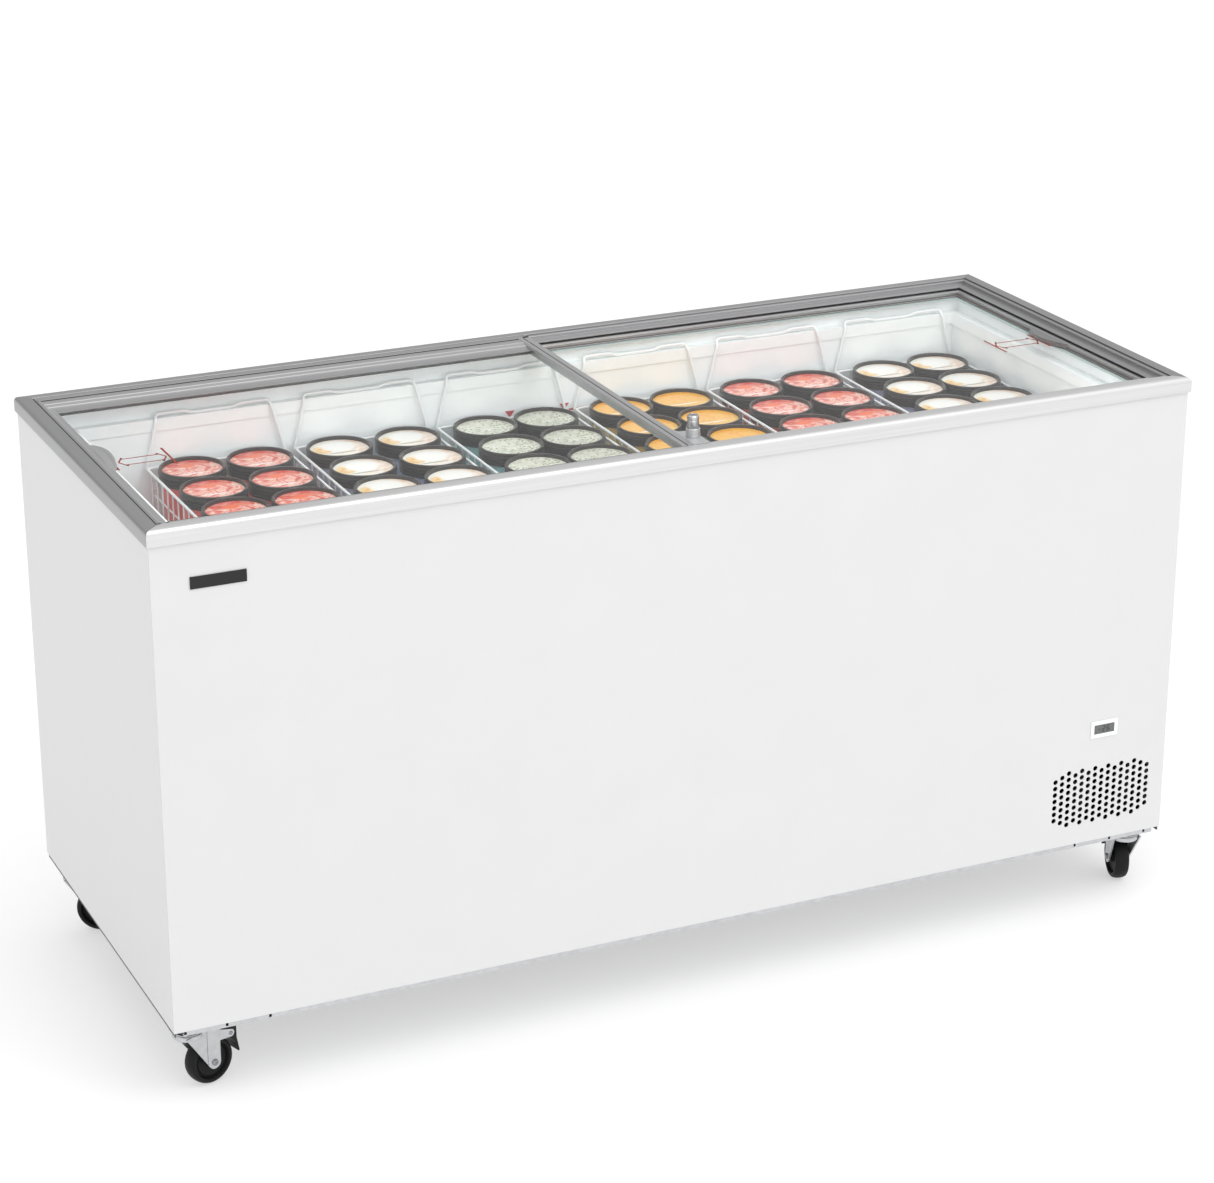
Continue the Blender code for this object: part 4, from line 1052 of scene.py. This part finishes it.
# %% Castor forks, bolts and pedals
TRAIL, AXLE_Z, EAR_T, EAR_Z = 34.3, 37.5, 64.3, 75.0 # axle and ear, in mm along the trail and up
CREASE, PLATE_Z, TOE = 22.5, 94.5, -17.5             # where the leg folds, its top and its front tip
LEG_IN, LEG_OUT, FOLD = 14.5, 17.0, 0.16             # a leg's two faces, and how steeply its front leans


def arc(centre, radius, first, last, steps):
    """Points on an arc between two angles in degrees."""
    turn = np.radians(np.linspace(first, last, steps + 1))
    return [(centre[0] + radius * math.cos(a), centre[1] + radius * math.sin(a)) for a in turn]


def leaf_plate(outline, inner, outer, fold=0.0):
    """A plate from (trail, up) points between two distances across, all mm; `fold` leans its front out."""
    outline = mm(*outline)
    lean = np.clip(CREASE / 1000 - outline[:, 0], 0, None) * fold * np.sign(outer)
    layers = [np.column_stack([outline[:, 0], n / 1000 + lean, outline[:, 1]]) for n in (inner, outer)]
    return grid(np.stack(layers))


foot = arc((TRAIL, AXLE_Z), 10.5, -140, 0, 14)
slope = (PLATE_Z - foot[0][1]) / (foot[0][0] - TOE)
crease_low = PLATE_Z - (CREASE - TOE) * slope        # where the crease meets the sloping front edge
front_leg = [(TOE, PLATE_Z), (CREASE - 0.8, crease_low + 0.8 * slope), (CREASE - 0.8, PLATE_Z)]
fold_line = [(CREASE - 1.0, crease_low + slope), (CREASE + 0.2, crease_low), (CREASE + 0.2, PLATE_Z),
             (CREASE - 1.0, PLATE_Z)]
rear_leg = [(CREASE, PLATE_Z), (CREASE, crease_low), *foot, (44.8, 66.5),
            *arc((46.8, 68.3), 2.0, 180, 120, 3), *arc((EAR_T, EAR_Z), 6.2, -75, 85, 8),
            (48.0, 86.0), (44.8, 88.5), (44.8, PLATE_Z)]
bridge = [(12.0, 89.0), (43.8, 89.0), (43.8, 94.4), (12.0, 94.4)]
crown = mm((6.4, 86.2), (20.5, 86.2), (22.8, 88.5), (22.8, 93.5), (21.2, 95.8), (6.4, 95.8))
crown = rounded(crown, 0.0008, 3)
race = mm((18.0, 95.8), (21.2, 95.8), (21.6, 96.6), (21.6, 97.6), (20.8, 98.2), (18.0, 98.2))
race = rounded(race, 0.0004, 3)
bolt = mirrored([(0.6, 20.0), (3.4, 20.0), (4.5, 19.5), (5.0, 18.7), (5.0, 17.3), (4.5, 17.1)])
pin_head = mm((0.4, 18.0), (2.6, 18.0), (3.3, 17.5), (3.3, 17.1), (0.4, 17.1))
pedal_side = [(EAR_T + 5.0, 87.0), *arc((EAR_T, EAR_Z), 6.2, 150, 235, 6), (68.3, 64.0), (75.5, 52.0),
              (77.6, 40.0), (80.3, 38.0), (81.5, 39.5), (77.1, 62.0), (77.1, 85.0), (74.8, 87.5)]

for corner in CORNERS:
    swivel, centre, along = castor_place(corner)
    fork = [turned(crown, 64, ring=True), leaf_plate(bridge, -15.5, 15.5)]
    for side in (-1, 1):
        fork += [leaf_plate(front_leg, side * LEG_IN, side * LEG_OUT, FOLD),
                 leaf_plate(fold_line, side * 14.6, side * 15.6),
                 leaf_plate(rear_leg, side * LEG_IN, side * LEG_OUT)]
    piece(f"pressed_fork_{corner}", [stand(one, swivel, along) for one in fork], zinc, f"castor_{corner}",
          [f"fork_{corner}"], 20)
    piece(f"swivel_race_{corner}", [stand(turned(race, 64, ring=True), swivel, along)], chrome,
          f"castor_{corner}", (), 30)
    fasteners = [turned(bolt, 32, mm(TRAIL, 0, AXLE_Z), 1, True)]
    fasteners += [turned(pin_head * (1, side), 24, mm(EAR_T, 0, EAR_Z), 1, True) for side in (-1, 1)]
    piece(f"axle_bolt_{corner}", [stand(one, swivel, along) for one in fasteners], bolt_zinc,
          f"castor_{corner}", [f"axle_{corner}"], 30)
    if corner.startswith("front"):
        pedal = leaf_plate(rounded(pedal_side, 1.2, 3), -13.0, 13.0)
        piece(f"moulded_pedal_{corner}", [stand(pedal, swivel, along)], pedal_black, f"brake_{corner}",
              [f"brake_pedal_{corner}"], 40)
    print(corner, "trails towards", np.round(along, 3))


# %% [markdown]
# The stage is a plain pale floor that glows a little, like a light table, so shadows stay faint. The
# white world is brightest overhead and in front and dims towards the back, so that metal tops look
# darker than metal fronts: its strength is 0.72 - 0.36 y + 0.49 z. Lamps in front and overhead
# brighten rounded edges. A faint strip hides under the front collar, as in many display chests, and
# lights the white well without being seen itself.

# %% Floor, light and camera
def lamp(name, place, target, size, power):
    """A white area lamp, `size` = (width, height), that faces a target point."""
    data = bpy.data.lights.new(name, "AREA")
    data.shape, data.energy = "RECTANGLE", power
    data.size, data.size_y = size
    obj = bpy.data.objects.new(name, data)
    aim = np.asarray(target, float) - np.asarray(place, float)
    flat = math.hypot(aim[0], aim[1])
    obj.location = place
    obj.rotation_euler = (math.pi / 2 + math.atan2(aim[2], flat), 0, -math.atan2(aim[0], aim[1]))
    bpy.context.scene.collection.objects.link(obj)
    return obj


floor_white, tree, shader = start_material("studio_floor", "#BCBCBC", 0.9, Emission_Strength=0.5)
shader.inputs["Emission Color"].default_value = (1, 1, 1, 1)
roughen(tree, shader, grain(tree, 0.05), 0.85, 0.95)
floor_corners = [(x, y, -0.0005) for x, y in ((-20, -20), (20, -20), (20, 20), (-20, 20))]
floor_mesh = bpy.data.meshes.new("floor")
floor_mesh.from_pydata(floor_corners, [], [[0, 1, 2, 3]])
floor_mesh.materials.append(floor_white)
floor = bpy.data.objects.new("floor", floor_mesh)
bpy.context.scene.collection.objects.link(floor)
floor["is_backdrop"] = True

world = bpy.data.worlds.new("soft_white")
world.use_nodes = True
sky = world.node_tree
look = add_node(sky, "ShaderNodeTexCoord").outputs["Generated"]
way = add_node(sky, "ShaderNodeSeparateXYZ", {0: look}).outputs
front_lit = {0: way[1], 1: -0.36, 2: 0.72}
dimmed = add_node(sky, "ShaderNodeMath", front_lit, operation="MULTIPLY_ADD").outputs[0]
top_lit = {0: way[2], 1: 0.49, 2: dimmed}
strength = add_node(sky, "ShaderNodeMath", top_lit, operation="MULTIPLY_ADD").outputs[0]
sky.links.new(strength, sky.nodes["Background"].inputs["Strength"])
sky.nodes["Background"].inputs["Color"].default_value = (1, 1, 1, 1)
bpy.context.scene.world = world
lamp("front_strip", (0.8, -2.6, 4.2), (0, 0, 0.8), (1.6, 1.6), 24)
lamp("overhead", (0.1, -0.8, 3.6), (0, 0.1, 0.8), (1.8, 1.8), 14)
well_strip = lamp("well_strip", (0, -0.250, 0.835), (0, 0.27, 0.815), (1.5, 0.03), 1.0)
well_strip.visible_camera = well_strip.visible_transmission = well_strip.visible_glossy = False
bpy.context.scene.view_settings.view_transform = "Standard"

azimuth, pitch = 0.4325, 0.3656                      # radians: turn from +Y towards +X, and downward tilt
camera_data = bpy.data.cameras.new("camera")
camera_data.sensor_fit, camera_data.sensor_width, camera_data.lens = "HORIZONTAL", 36.0, 96.47
camera = bpy.data.objects.new("camera", camera_data)
camera.location = (-2.011, -4.352, 2.3865)
camera.rotation_euler = (math.pi / 2 - pitch, 0, -azimuth)
bpy.context.scene.collection.objects.link(camera)
bpy.context.scene.camera = camera


# %% Sizes and finish
sizes = {"cad": cad_box, "visual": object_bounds()}
sizes = {name: [[float(v) for v in corner] for corner in box] for name, box in sizes.items()}
print(sizes)
